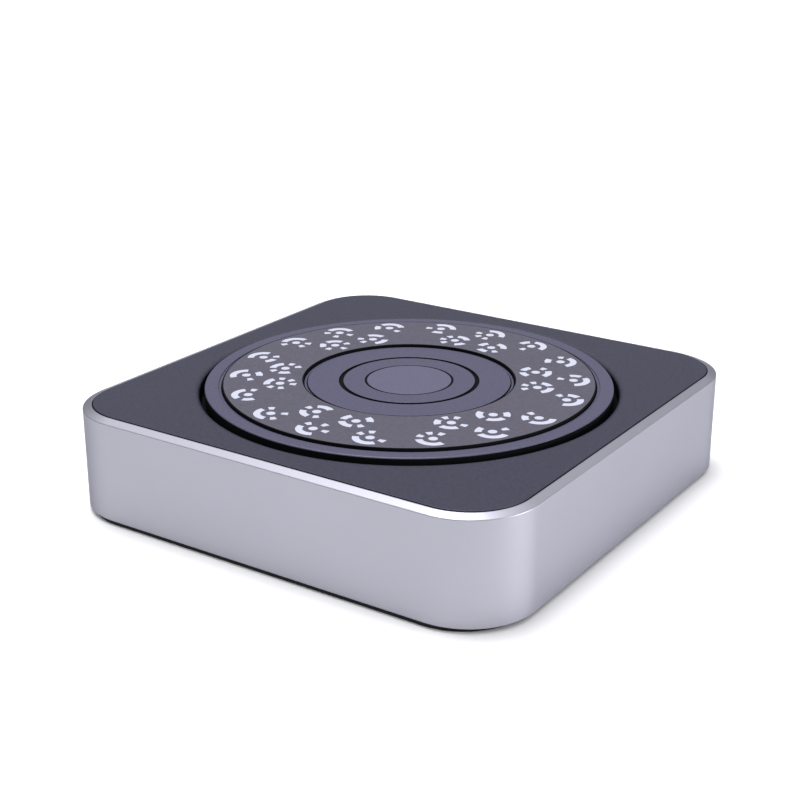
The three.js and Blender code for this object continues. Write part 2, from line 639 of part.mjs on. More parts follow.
function addBearing() {
  const bushInner = SPINDLE.radius + GAP;
  const { outer, length, lowerTop, upperBottom } = BUSH;
  add("bearing_pedestal", bearingPedestal(), ALUMINIUM);
  add("lower_bush", tube(bushInner, outer, lowerTop - length, lowerTop, SIDES.small), BRONZE);
  add("upper_bush", tube(bushInner, outer, upperBottom, upperBottom + length, SIDES.small), BRONZE);
  for (const [name, z] of [["lower_thrust_washer", THRUST.lower], ["upper_thrust_washer", THRUST.upper]]) {
    add(name, tube(THRUST.inner, THRUST.outer, z, z + THRUST.thickness), STEEL);
  }
  add("ball_cage", ballCage(), BRASS);
  const places = onCircle(PEDESTAL_SCREWS.count, PEDESTAL_SCREWS.circle, PEDESTAL_SCREWS.angle);
  places.forEach(([x, y], i) => {
    addScrew(`pedestal_screw_${i + 1}`, M3, SCREW_LENGTH.pedestal, x, y, PEDESTAL.flangeTop + GAP);
  });
}

// ---------------------------------------------------------------- motor

function motorScrewPlaces() {
  const half = MOTOR.screwSpacing / 2;
  return [[-half, -half], [half, -half], [half, half], [-half, half]];
}

// A square of the motor's size with its corners cut off.
function motorBlock(width, corner, z0, z1) {
  const half = width / 2;
  const near = half - corner;
  const corners = [[half, near], [near, half], [-near, half], [-half, near]];
  const outline = [...corners, ...corners.map(([x, y]) => [-x, -y])];
  return slab(new THREE.Shape(outline.map(([x, y]) => new THREE.Vector2(x, y))), z0, z1);
}

function motorRearCap() {
  const cap = motorBlock(MOTOR.width, MOTOR.corner, MOTOR.rearBottom, MOTOR.rearTop);
  return cap.subtract(rod(MOTOR.shaft + GAP, MOTOR.rearBore, MOTOR.rearTop + PAST));
}

function motorStator() {
  const core = motorBlock(MOTOR.statorWidth, MOTOR.statorCorner, MOTOR.rearTop + GAP, MOTOR.frontBottom - GAP);
  return core.subtract(rod(MOTOR.bore, MOTOR.rearTop - PAST, MOTOR.frontBottom + PAST, SIDES.motor));
}

function motorFrontCap() {
  const cap = motorBlock(MOTOR.width, MOTOR.corner, MOTOR.frontBottom, MOTOR.frontTop);
  const pilot = rod(MOTOR.pilotRadius, MOTOR.frontTop - PAST, MOTOR.pilotTop, SIDES.motor);
  const bore = rod(MOTOR.shaft + GAP, MOTOR.frontBottom - PAST, MOTOR.pilotTop + PAST);
  const threads = holes(motorScrewPlaces(), M3.shank + GAP, MOTOR.frontTop - MOTOR.threadDepth, MOTOR.frontTop + PAST);
  return cut(cap.add(pilot), [bore, ...threads]);
}

function motorRotor() {
  const outline = [
    [0, MOTOR.shaftBottom],
    [MOTOR.shaft, MOTOR.shaftBottom],
    [MOTOR.shaft, MOTOR.rotorBottom],
    [MOTOR.rotor, MOTOR.rotorBottom],
    [MOTOR.rotor, MOTOR.rotorTop],
    [MOTOR.shaft, MOTOR.rotorTop],
    [MOTOR.shaft, MOTOR.shaftTop],
    [0, MOTOR.shaftTop],
  ];
  return turned(outline, SIDES.small);
}

function motorBracket() {
  const plateBottom = MOTOR.frontTop + GAP;
  const plateTop = plateBottom + BRACKET.plate;
  const outer = BRACKET.legInner + BRACKET.plate;
  const half = BRACKET.width / 2;
  const legHalf = BRACKET.legWidth / 2;
  const footBottom = BRACKET.footTop - BRACKET.plate;
  const plate = block(-outer, outer, -half, half, plateBottom, plateTop);
  const left = joined([
    block(-outer, -BRACKET.legInner, -legHalf, legHalf, footBottom, plateTop),
    block(-outer - BRACKET.footLength, -BRACKET.legInner, -legHalf, legHalf, footBottom, BRACKET.footTop),
  ]);
  const right = left.rotate([0, 0, 180]);
  const footScrews = bracketFeet().map(([x, y]) => [x - MOTOR.along, y - MOTOR.along]);
  return cut(joined([plate, left, right]), [
    rod(MOTOR.pilotRadius + GAP, plateBottom - PAST, plateTop + PAST, SIDES.motor),
    ...holes(motorScrewPlaces(), M3.shank + GAP, plateBottom - PAST, plateTop + PAST),
    ...holes(footScrews, M3.shank + GAP, footBottom - PAST, BRACKET.footTop + PAST),
  ]);
}

function addMotor() {
  const place = [MOTOR.along, MOTOR.along, 0];
  add("motor_rear_cap", motorRearCap(), ALUMINIUM, place);
  add("motor_stator", motorStator(), BLACK_PLASTIC, place);
  add("motor_front_cap", motorFrontCap(), ALUMINIUM, place);
  add("motor_rotor", motorRotor(), STEEL, place);
  add("motor_bracket", motorBracket(), STEEL, place);
  const plateTop = MOTOR.frontTop + GAP + BRACKET.plate;
  motorScrewPlaces().forEach(([x, y], i) => {
    addScrew(`motor_screw_${i + 1}`, M3, SCREW_LENGTH.motor, MOTOR.along + x, MOTOR.along + y, plateTop + GAP);
  });
  bracketFeet().forEach(([x, y], i) => {
    addScrew(`bracket_screw_${i + 1}`, M3, SCREW_LENGTH.bracket, x, y, BRACKET.footTop + GAP);
  });
}

// ---------------------------------------------------------------- electronics

function controlBoard() {
  const board = block(BOARD.x0, BOARD.x1, BOARD.y0, BOARD.y1, BOARD.bottom, BOARD.top);
  const places = boardFixings().map(({ x, y }) => [x, y]);
  return cut(board, holes(places, BOARD.hole, BOARD.bottom - PAST, BOARD.top + PAST));
}

function usbSocket() {
  const [w, top] = [USB.width / 2, PARTS_BOTTOM + USB.height];
  const shell = block(USB.x - w, USB.x + w, USB.back, USB.front, PARTS_BOTTOM, top);
  const middle = PARTS_BOTTOM + USB.height / 2;
  const centred = (width, height, y0, y1) => {
    return block(USB.x - width / 2, USB.x + width / 2, y0, y1, middle - height / 2, middle + height / 2);
  };
  const floor = USB.front - USB_TONGUE.mouthDepth;
  const mouth = centred(USB.mouthWidth, USB.mouthHeight, floor, USB.front + PAST);
  const tongueFront = USB.front - USB_TONGUE.setBack;
  const tongue = centred(USB_TONGUE.width, USB_TONGUE.height, floor - PAST, tongueFront);
  return shell.subtract(mouth).add(tongue);
}

function powerJack() {
  const middle = PARTS_BOTTOM + JACK.height / 2;
  const w = JACK.width / 2;
  const body = block(JACK.x - w, JACK.x + w, JACK.back, JACK.front, PARTS_BOTTOM, PARTS_BOTTOM + JACK.height);
  const collar = crossRod(JACK.collar, JACK.front - PAST, PANEL.face, JACK.x, middle);
  const floor = PANEL.face - JACK.depth;
  const bore = crossRod(JACK.bore, floor, PANEL.face + PAST, JACK.x, middle);
  const pin = crossRod(JACK.pin, floor - PAST, JACK.pinFront, JACK.x, middle, SIDES.pin);
  return body.add(collar).subtract(bore).add(pin);
}

function heatsink() {
  const half = HEATSINK.width / 2;
  const base = block(-half, half, -half, half, 0, HEATSINK.base);
  const fins = Array.from({ length: HEATSINK.fins }, (_, i) => {
    const x = -half + ((HEATSINK.width - HEATSINK.finWidth) * i) / (HEATSINK.fins - 1);
    return block(x, x + HEATSINK.finWidth, -half, half, HEATSINK.base / 2, HEATSINK.height);
  });
  return joined([base, ...fins]);
}

function capacitor() {
  const edge = 0.6;
  const outline = [
    [0, 0],
    [CAPACITOR.radius, 0],
    [CAPACITOR.radius, CAPACITOR.height - edge],
    [CAPACITOR.radius - edge, CAPACITOR.height],
    [0, CAPACITOR.height],
  ];
  return turned(outline, SIDES.small);
}

function motorHeader() {
  const { wall } = HEADER;
  const w = HEADER.width / 2;
  const shell = block(HEADER.x - w, HEADER.x + w, HEADER.y0, HEADER.y1, PARTS_BOTTOM, PARTS_BOTTOM + HEADER.height);
  const mouth = block(
    HEADER.x - w + wall,
    HEADER.x + w - wall,
    HEADER.y0 - PAST,
    HEADER.y1 - wall,
    PARTS_BOTTOM + wall,
    PARTS_BOTTOM + HEADER.height - wall,
  );
  return shell.subtract(mouth);
}

function cable(points, { radius, steps, sides }) {
  const section = new THREE.Shape(
    Array.from({ length: sides }, (_, i) => {
      const angle = (2 * Math.PI * i) / sides;
      return new THREE.Vector2(radius * Math.cos(angle), radius * Math.sin(angle));
    }),
  );
  const route = new THREE.CatmullRomCurve3(points.map((point) => new THREE.Vector3(...point)));
  return solidFrom(new THREE.ExtrudeGeometry(section, { steps, bevelEnabled: false, extrudePath: route }));
}

function motorLead() {
  const start = MOTOR.along + MOTOR.width / 2 + GAP;
  const inside = HEADER.wall + GAP;
  const front = HEADER.y1 - inside;
  const back = front - MOTOR_LEAD.plugLength;
  const halfWidth = HEADER.width / 2 - inside;
  const halfHeight = HEADER.height / 2 - inside;
  const middle = PARTS_BOTTOM + HEADER.height / 2;
  // Out of the stator, down to the base plate, along it beside the bearing and up to the header.
  const route = [
    [MOTOR.along, start, 7],
    [MOTOR.along, start + 8, 6.4],
    [MOTOR.along - 2, 0, 5.2],
    [MOTOR.along + 3, 22, 5.4],
    [HEADER.x - 12, 38, 8],
    [HEADER.x - 2, back - 6, middle - 1],
    [HEADER.x, back + SUNK, middle],
  ];
  const [x0, x1] = [HEADER.x - halfWidth, HEADER.x + halfWidth];
  const plug = block(x0, x1, back, front, middle - halfHeight, middle + halfHeight);
  return cable(route, MOTOR_LEAD).add(plug);
}

function switchLead() {
  const back = SWITCH.back - GAP;
  // Out of the back of the switch and down to the board.
  const route = [
    [SWITCH.x, back, SWITCH.z],
    [SWITCH.x, back - 5, SWITCH.z - 0.5],
    [SWITCH.x - 1, back - 9, SWITCH.z - 4],
    [SWITCH.x - 1, back - 10, PARTS_BOTTOM],
  ];
  return cable(route, SWITCH_LEAD);
}

function addElectronics() {
  add("control_board", controlBoard(), BOARD_GREEN);
  add("usb_socket", usbSocket(), STEEL);
  add("power_jack", powerJack(), BLACK_PLASTIC);
  const chipHalf = CHIP.width / 2;
  add("controller_chip", block(-chipHalf, chipHalf, -chipHalf, chipHalf, 0, CHIP.height), CHIP_BLACK,
    [CHIP.x, CHIP.y, PARTS_BOTTOM]);
  const driverHalf = DRIVER.width / 2;
  add("motor_driver_chip", block(-driverHalf, driverHalf, -driverHalf, driverHalf, 0, DRIVER.height), CHIP_BLACK,
    [DRIVER.x, DRIVER.y, PARTS_BOTTOM]);
  add("driver_heatsink", heatsink(), ALUMINIUM, [DRIVER.x, DRIVER.y, PARTS_BOTTOM + DRIVER.height + GAP]);
  add("smoothing_capacitor", capacitor(), BLACK_PLASTIC, [CAPACITOR.x, CAPACITOR.y, PARTS_BOTTOM]);
  add("motor_header", motorHeader(), ACETAL);
  add("motor_lead", motorLead(), CABLE_BLACK);
  add("switch_lead", switchLead(), CABLE_BLACK);
  boardFixings().filter(({ screw }) => screw).forEach(({ x, y }, i) => {
    addScrew(`board_screw_${i + 1}`, M25, SCREW_LENGTH.board, x, y, PARTS_BOTTOM);
  });
}

// ---------------------------------------------------------------- port panel and power switch

function rearPortPanel() {
  const { halfWidth, bottom, top, back, face, front, clearance: clear } = PANEL;
  const plate = block(-halfWidth, halfWidth, back, front, bottom, top);
  const recess = block(
    -PORTS.halfWidth + GAP,
    PORTS.halfWidth - GAP,
    face,
    front + PAST,
    PORTS.bottom + GAP,
    PORTS.top - GAP,
  );
  const usbHalf = USB.width / 2 + clear;
  const usbTop = PARTS_BOTTOM + USB.height + clear;
  const switchHalf = SWITCH.halfWidth + clear;
  const switchTall = SWITCH.halfHeight + clear;
  return cut(plate, [
    recess,
    block(USB.x - usbHalf, USB.x + usbHalf, back - PAST, front + PAST, PARTS_BOTTOM - clear, usbTop),
    crossRod(JACK.collar + clear, back - PAST, front + PAST, JACK.x, PARTS_BOTTOM + JACK.height / 2),
    block(
      SWITCH.x - switchHalf,
      SWITCH.x + switchHalf,
      back - PAST,
      front + PAST,
      SWITCH.z - switchTall,
      SWITCH.z + switchTall,
    ),
  ]);
}

function switchHousing() {
  const around = (halfWidth, halfHeight, y0, y1) => {
    return block(-halfWidth, halfWidth, y0, y1, -halfHeight, halfHeight);
  };
  const body = around(SWITCH.halfWidth, SWITCH.halfHeight, SWITCH.back, SWITCH.bezelBack + SUNK);
  const bezel = around(BEZEL.halfWidth, BEZEL.halfHeight, SWITCH.bezelBack, SWITCH.bezelFront);
  const pocket = around(
    BEZEL.pocketHalfWidth,
    BEZEL.pocketHalfHeight,
    BEZEL.pocketBack,
    SWITCH.bezelFront + PAST,
  );
  const { radius, reach } = PIVOT_HOLE;
  const pivot = rod(radius, -reach, reach, SIDES.screw).translate([0, ROCKER.pivot, 0]);
  return cut(body.add(bezel), [pocket, pivot]);
}

function rocker() {
  const shape = new THREE.Shape(ROCKER_OUTLINE.map(([x, y]) => new THREE.Vector2(x, y)));
  const paddle = slab(shape, -ROCKER.halfHeight, ROCKER.halfHeight);
  return paddle.add(rod(ROCKER.pin, -ROCKER.pinReach, ROCKER.pinReach, SIDES.screw));
}

function addPorts() {
  add("rear_port_panel", rearPortPanel(), BLACK_PLASTIC);
  add("power_switch_housing", switchHousing(), BLACK_PLASTIC, [SWITCH.x, 0, SWITCH.z]);
  const paddle = add("power_switch_rocker", rocker(), BLACK_PLASTIC, [SWITCH.x, ROCKER.pivot, SWITCH.z]);
  paddle.rotation.z = ROCKER.tilt;
}

addHousing();
addPlatter();
addGears();
addBearing();
addMotor();
addElectronics();
addPorts();

export default group;
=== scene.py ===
"""Looks for the scanner turntable: fine meshes, procedural materials, light and camera.

Lengths inside the helpers are millimetres, as in the design, and become metres in build().
The part's frame is +Z up, with the ports at +Y and the origin on the ground under the middle.
"""

import json
import math

import bmesh
import bpy
from mathutils import Matrix, Vector

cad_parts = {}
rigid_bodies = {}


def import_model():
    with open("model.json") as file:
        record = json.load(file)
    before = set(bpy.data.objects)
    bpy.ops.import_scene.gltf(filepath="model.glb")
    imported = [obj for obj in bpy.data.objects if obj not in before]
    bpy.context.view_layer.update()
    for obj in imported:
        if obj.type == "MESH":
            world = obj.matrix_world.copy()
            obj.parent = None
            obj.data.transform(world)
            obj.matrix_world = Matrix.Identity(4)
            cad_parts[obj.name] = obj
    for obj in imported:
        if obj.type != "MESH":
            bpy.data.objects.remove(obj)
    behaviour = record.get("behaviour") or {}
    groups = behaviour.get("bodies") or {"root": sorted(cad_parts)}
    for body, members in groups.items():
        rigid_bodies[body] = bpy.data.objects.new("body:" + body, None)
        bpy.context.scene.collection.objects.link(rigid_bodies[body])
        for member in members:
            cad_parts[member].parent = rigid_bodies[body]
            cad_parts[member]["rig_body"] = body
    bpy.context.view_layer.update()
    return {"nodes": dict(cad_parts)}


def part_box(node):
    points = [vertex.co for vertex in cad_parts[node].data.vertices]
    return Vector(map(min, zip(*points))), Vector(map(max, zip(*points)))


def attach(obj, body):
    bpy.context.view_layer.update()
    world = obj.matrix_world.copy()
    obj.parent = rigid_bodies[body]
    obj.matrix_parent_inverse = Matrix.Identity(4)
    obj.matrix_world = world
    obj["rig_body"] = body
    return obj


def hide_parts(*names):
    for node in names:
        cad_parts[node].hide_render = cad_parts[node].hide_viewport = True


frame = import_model()

MM = 0.001
SHARP = math.radians(38)

# ---------------------------------------------------------------- places read from the frame


def box_mm(node):
    low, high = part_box(node)
    return low / MM, high / MM


FRAME_LOW, FRAME_HIGH = box_mm("side_frame")
WIDTH = FRAME_HIGH.x - FRAME_LOW.x
COVER_LOW, COVER_HIGH = box_mm("top_cover")
PLATTER_LOW, PLATTER_HIGH = box_mm("platter")
MARKER_LOW, MARKER_HIGH = box_mm("marker_ring")
PAD_LOW, PAD_HIGH = box_mm("centre_pad")
PANEL_LOW, PANEL_HIGH = box_mm("rear_port_panel")
USB_LOW, USB_HIGH = box_mm("usb_socket")
JACK_LOW, JACK_HIGH = box_mm("power_jack")
SWITCH_LOW, SWITCH_HIGH = box_mm("power_switch_housing")

# Design sizes that the boxes don't give.
CORNER = 29
WALL = 2.2
BEVEL_WIDTH = 3.9
BEVEL_DEPTH = 1.6
LEDGE_INSET = 9
LEDGE_BOTTOM = 41
LEDGE_TOP = 42.7
COVER_BOTTOM = 43
OPENING = 89.5
WELL_WALL = 1.8
WELL_TOP = 39
WELL_BOTTOM = 37.5
WELL_INNER = 82
BOSS_PLACE = 88
BOSS_RADIUS = 4.5
BOSS_BOTTOM = 3.1
RIM_INNER = 80.6
PLATTER_FLOOR = 45.3
PLATTER_UNDERSIDE = 42.6
SKIRT_INNER = 84
MARKER_INNER = 44.85
PAD_GROOVES = ((18.4, 0.95, 0.6), (28.9, 1.9, 0.9))
PORT_HALF_WIDTH = 38
PORT_BOTTOM = 8
PORT_TOP = 30
PANEL_FACE = 101.6
ROCKER_TILT = math.radians(8)
ROCKER_PIVOT = (24, 98.8, 19)
EDGE_CLEAR = 0.002  # keeps the band's face just inside the CAD's
UNSHADED_DROP = 0.3  # how far down its edges a disc keeps its top colour; below that its faces get the painted shade
LIP_OVERHANG = 0.9  # the cover's rounded shoulder beside the gap
LIP_REACH = 3.0
LIP_DROP = 2.0
LIP_STEPS = 10
RIM_ROUNDING = 1.0
VALLEY = 46.85  # top of the platter's low ribs beside the marker ring
RING_SHADE_BAND = 0.55  # a band of the near-black painted shade along both edges of the film, for the shade in the gaps beside it

# ---------------------------------------------------------------- materials


def node(tree, kind, **values):
    made = tree.nodes.new(kind)
    for key, value in values.items():
        setattr(made, key, value)
    return made


def noise(tree, scale, detail=3.0):
    place = node(tree, "ShaderNodeTexCoord")
    made = node(tree, "ShaderNodeTexNoise")
    made.inputs["Scale"].default_value = scale
    made.inputs["Detail"].default_value = detail
    tree.links.new(place.outputs["Object"], made.inputs["Vector"])
    return made.outputs["Fac"]


NOISE_LOW, NOISE_HIGH = 0.3, 0.7  # the part of its range that a noise mostly stays in


def spread(tree, fac, low, high):
    """The noise drawn out to run from low to high."""
    made = node(tree, "ShaderNodeMapRange")
    made.inputs["From Min"].default_value = NOISE_LOW
    made.inputs["From Max"].default_value = NOISE_HIGH
    made.inputs["To Min"].default_value = low
    made.inputs["To Max"].default_value = high
    tree.links.new(fac, made.inputs["Value"])
    return made.outputs["Result"]


def tinted(tree, fac, first, second):
    """The noise as a colour that runs from the first to the second."""
    ramp = node(tree, "ShaderNodeValToRGB")
    ramp.color_ramp.elements[0].position = NOISE_LOW
    ramp.color_ramp.elements[1].position = NOISE_HIGH
    ramp.color_ramp.elements[0].color = (*first, 1)
    ramp.color_ramp.elements[1].color = (*second, 1)
    tree.links.new(fac, ramp.inputs["Fac"])
    return ramp.outputs["Color"]


def surface(
    name,
    color,
    roughness,
    metallic=0.0,
    variation=0.06,
    blotch=60,
    grain=2600,
    bump=0.1,
    depth=0.00004,
    rough_spread=0.06,
    specular=0.5,
    coat=0.0,
    tint=(1, 1, 1),
):
    """A moulded, painted or machined surface: cloudy colour, uneven gloss and a fine grain.

    variation is the colour's share of change, at a scale of blotch. The grain's scale is grain, its relief
    has the strength bump and is depth metres deep, and roughness varies by rough_spread either way with it.
    """
    material = bpy.data.materials.new(name)
    material.use_nodes = True
    tree = material.node_tree
    shader = tree.nodes["Principled BSDF"]
    shader.inputs["Metallic"].default_value = metallic
    shader.inputs["Specular IOR Level"].default_value = specular
    shader.inputs["Coat Weight"].default_value = coat
    shader.inputs["Specular Tint"].default_value = (*tint, 1)
    cloud = noise(tree, blotch)
    darker = [c * (1 - variation) for c in color]
    lighter = [min(1, c * (1 + variation)) for c in color]
    tree.links.new(tinted(tree, cloud, darker, lighter), shader.inputs["Base Color"])
    fine = noise(tree, grain, detail=2)
    low, high = roughness - rough_spread, roughness + rough_spread
    tree.links.new(spread(tree, fine, low, high), shader.inputs["Roughness"])
    relief = node(tree, "ShaderNodeBump")
    relief.inputs["Strength"].default_value = bump
    relief.inputs["Distance"].default_value = depth
    tree.links.new(fine, relief.inputs["Height"])
    tree.links.new(relief.outputs["Normal"], shader.inputs["Normal"])
    return material


ANISOTROPY = 0.5
STREAKS = 900
STREAK_SPREAD = 0.08


def brushed(name, color, roughness, stretch):
    """Turned or ground metal: the grain is drawn out by stretch along each axis."""
    material = surface(name, color, roughness, metallic=1, variation=0.04, bump=0.05)
    tree = material.node_tree
    place = node(tree, "ShaderNodeTexCoord")
    drawn = node(tree, "ShaderNodeMapping")
    drawn.inputs["Scale"].default_value = stretch
    streaks = node(tree, "ShaderNodeTexNoise")
    streaks.inputs["Scale"].default_value = STREAKS
    tree.links.new(place.outputs["Object"], drawn.inputs["Vector"])
    tree.links.new(drawn.outputs["Vector"], streaks.inputs["Vector"])
    shader = tree.nodes["Principled BSDF"]
    shader.inputs["Anisotropic"].default_value = ANISOTROPY
    rough = spread(tree, streaks.outputs["Fac"], roughness - STREAK_SPREAD, roughness + STREAK_SPREAD)
    tree.links.new(rough, shader.inputs["Roughness"])
    return material


def circuit_board(name):
    """Green solder mask over copper tracks, which show as a paler maze."""
    material = surface(name, (0.01, 0.11, 0.05), 0.35, grain=1500, bump=0.05, coat=0.3)
    tree = material.node_tree
    place = node(tree, "ShaderNodeTexCoord")
    tracks = node(tree, "ShaderNodeTexBrick")
    tracks.inputs["Scale"].default_value = 90
    tracks.inputs["Mortar Size"].default_value = 0.035
    tracks.inputs["Color1"].default_value = (0.008, 0.10, 0.045, 1)
    tracks.inputs["Color2"].default_value = (0.010, 0.12, 0.055, 1)
    tracks.inputs["Mortar"].default_value = (0.03, 0.22, 0.09, 1)
    tree.links.new(place.outputs["Object"], tracks.inputs["Vector"])
    tree.links.new(tracks.outputs["Color"], tree.nodes["Principled BSDF"].inputs["Base Color"])
    return material


def laminations(name):
    """A motor's stack of steel sheets: dark lines across Z."""
    material = surface(name, (0.06, 0.06, 0.065), 0.4, metallic=0.7, bump=0.1)
    tree = material.node_tree
    place = node(tree, "ShaderNodeTexCoord")
    sheets = node(tree, "ShaderNodeTexWave", wave_type="BANDS", bands_direction="Z")
    sheets.inputs["Scale"].default_value = 320
    tree.links.new(place.outputs["Object"], sheets.inputs["Vector"])
    relief = node(tree, "ShaderNodeBump")
    relief.inputs["Strength"].default_value = 0.5
    relief.inputs["Distance"].default_value = 0.0001
    tree.links.new(sheets.outputs["Fac"], relief.inputs["Height"])
    tree.links.new(relief.outputs["Normal"], tree.nodes["Principled BSDF"].inputs["Normal"])
    return material


SILVER = surface(
    "silver_paint", (0.374, 0.371, 0.422), 0.40, metallic=0.9, variation=0.012, blotch=25, grain=5200,
    depth=0.00002, rough_spread=0.03, tint=(0.35, 0.35, 0.37)
)
COVER = surface(
    "cover_plastic", (0.0145, 0.0138, 0.0335), 0.46, variation=0.36, blotch=800, grain=4200, bump=0.32,
    depth=0.00005, specular=0.46
)
PLATTER = surface(
    "platter_plastic", (0.050, 0.047, 0.090), 0.45, variation=0.14, blotch=800, grain=4200, bump=0.22,
    rough_spread=0.05
)
PAD_CENTRE = surface(
    "pad_centre", (0.074, 0.070, 0.124), 0.45, variation=0.10, blotch=800, grain=4200, bump=0.18,
    rough_spread=0.05
)
MARKER = surface(
    "marker_film", (0.056, 0.052, 0.076), 0.5, variation=0.16, blotch=700, grain=3000, depth=0.00003,
    rough_spread=0.05
)
# Near-black painted shade, for walls, gaps and undersides that lie in shade.
PAINTED_SHADE = surface("painted_shade_wall", (0.006, 0.006, 0.007), 0.7, variation=0.1, bump=0.2, specular=0.03)
INK = surface(
    "marker_ink", (0.46, 0.47, 0.56), 0.5, variation=0.02, blotch=90, grain=3500, bump=0.06, depth=0.00002,
    rough_spread=0.05
)
BLACK_STEEL = surface(
    "powder_coat", (0.006, 0.006, 0.007), 0.6, variation=0.1, blotch=70, grain=2200, bump=0.35,
    depth=0.00006, rough_spread=0.08, specular=0.2
)
RUBBER = surface(
    "rubber", (0.016, 0.016, 0.017), 0.8, variation=0.15, blotch=90, grain=1800, bump=0.4, depth=0.00008,
    rough_spread=0.08, specular=0.3
)
BLACK = surface("black_plastic", (0.014, 0.014, 0.016), 0.42, variation=0.08, bump=0.2)
GLOSS_BLACK = surface(
    "rocker_plastic", (0.012, 0.012, 0.013), 0.22, variation=0.05, grain=1200, bump=0.05, depth=0.00002,
    rough_spread=0.04
)
ZINC = brushed("zinc_screw", (0.50, 0.51, 0.53), 0.3, (1, 1, 6))
STEEL = brushed("ground_steel", (0.56, 0.57, 0.60), 0.26, (1, 1, 8))
TIN = brushed("tin_plate", (0.62, 0.62, 0.63), 0.3, (1, 6, 1))
GOLD = brushed("gold_contact", (0.83, 0.60, 0.22), 0.22, (1, 6, 1))
CAST = surface(
    "cast_aluminium", (0.52, 0.53, 0.55), 0.45, metallic=1, variation=0.08, blotch=120, grain=1500,
    bump=0.4, depth=0.0001, rough_spread=0.08
)
BRONZE = surface(
    "sintered_bronze", (0.42, 0.25, 0.10), 0.45, metallic=1, variation=0.15, blotch=500, grain=2500,
    bump=0.3, depth=0.00006, rough_spread=0.1
)
BRASS = brushed("brass", (0.70, 0.48, 0.18), 0.28, (1, 1, 8))
ACETAL = surface("acetal", (0.78, 0.77, 0.73), 0.38, variation=0.03, grain=1600, bump=0.08, rough_spread=0.05)
BOARD = circuit_board("circuit_board")
LAMINATED = laminations("laminations")
CHIP = surface(
    "chip_epoxy", (0.02, 0.02, 0.022), 0.55, variation=0.08, blotch=300, grain=3500, bump=0.3,
    depth=0.00003
)
JACKET = surface(
    "cable_jacket", (0.015, 0.015, 0.016), 0.5, variation=0.1, blotch=200, grain=1500, bump=0.2,
    depth=0.00005, rough_spread=0.08
)
SLEEVE = surface(
    "capacitor_sleeve", (0.015, 0.02, 0.05), 0.3, variation=0.1, blotch=200, grain=1500, depth=0.00003,
    rough_spread=0.05
)

# ---------------------------------------------------------------- outlines


def softened(points, radius, steps=4, closed=True):
    """The outline with each corner rounded to radius, or less where its sides are short."""
    rounded = []
    count = len(points)
    for i, corner in enumerate(points):
        corner = Vector(corner)
        if not closed and i in (0, count - 1):
            rounded.append(corner)
            continue
        before = Vector(points[i - 1]) - corner
        after = Vector(points[(i + 1) % count]) - corner
        half = before.angle(after) / 2
        reach = min(radius / math.tan(half), before.length * 0.45, after.length * 0.45)
        start = corner + before.normalized() * reach
        end = corner + after.normalized() * reach
        for step in range(steps + 1):
            t = step / steps
            rounded.append(start.lerp(corner, t).lerp(corner.lerp(end, t), t))
    return [tuple(p) for p in rounded]


CORNER_STEPS = 20
SIDE_STEPS = 28


def square_loop(inset, z):
    """Points round the housing's outline moved in by inset, with the same count at any inset."""
    half = WIDTH / 2 - inset
    radius = max(CORNER - inset, 0.5)
    flat = half - radius
    points = []
    for corner in range(4):
        turn = Matrix.Rotation(corner * math.pi / 2, 2)
        for step in range(CORNER_STEPS + 1):
            angle = math.pi / 2 * step / CORNER_STEPS
            points.append(turn @ Vector((flat + radius * math.cos(angle), flat + radius * math.sin(angle))))
        for step in range(1, SIDE_STEPS):
            x = flat - 2 * flat * step / SIDE_STEPS
            points.append(turn @ Vector((x, half)))
    return [(p.x, p.y, z) for p in points]


def turn_steps(count):
    return [2 * math.pi * i / count for i in range(count)]


def round_loop(radius, z, steps):
    return [(radius * math.cos(a), radius * math.sin(a), z) for a in turn_steps(steps)]


def matched_loop(radius, z):
    """A circle whose points stand in line with those of square_loop."""
    return [
        (radius * x / math.hypot(x, y), radius * y / math.hypot(x, y), z)
        for x, y, _ in square_loop(0, 0)
    ]


# ---------------------------------------------------------------- meshes


def new_mesh():
    return bmesh.new()


def add_loft(bm, loops):
    """Quads between each loop and the next, and from the last to the first."""
    rows = [[bm.verts.new(p) for p in loop] for loop in loops]
    for lower, upper in zip(rows, rows[1:] + rows[:1]):
        for i in range(len(lower)):
            j = (i + 1) % len(lower)
            bm.faces.new((lower[i], lower[j], upper[j], upper[i]))


def add_turned(bm, outline, steps=128, centre=(0, 0, 0), axis="Z"):
    """A turned body from an outline of (radius, height), which may start and end on the axis."""
    at = Matrix.Translation(centre)
    if axis == "Y":
        at = at @ Matrix.Rotation(-math.pi / 2, 4, "X")
    on_axis = [r < 1e-6 for r, _ in outline]
    rows = []
    for (radius, height), single in zip(outline, on_axis):
        loop = [(0, 0, height)] if single else round_loop(radius, height, steps)
        rows.append([bm.verts.new(at @ Vector(p)) for p in loop])
    pairs = list(zip(rows, rows[1:]))
    if not (on_axis[0] and on_axis[-1]):
        pairs.append((rows[-1], rows[0]))
    for lower, upper in pairs:
        for i in range(steps):
            j = (i + 1) % steps
            corners = [lower[i % len(lower)], lower[j % len(lower)]]
            corners += [upper[j % len(upper)], upper[i % len(upper)]]
            bm.faces.new(list(dict.fromkeys(corners)))


def add_prism(bm, outline, z0, z1, centre=(0, 0)):
    """An upright prism on a closed outline of (x, y)."""
    points = [Vector(p) for p in outline]
    lower, upper = ([bm.verts.new((p.x + centre[0], p.y + centre[1], z)) for p in points] for z in (z0, z1))
    for i in range(len(points)):
        j = (i + 1) % len(points)
        bm.faces.new((lower[i], lower[j], upper[j], upper[i]))
    bm.faces.new(list(reversed(lower)))
    bm.faces.new(upper)


def add_box(bm, low, high):
    corners = [(low[0], low[1]), (high[0], low[1]), (high[0], high[1]), (low[0], high[1])]
    add_prism(bm, corners, low[2], high[2])


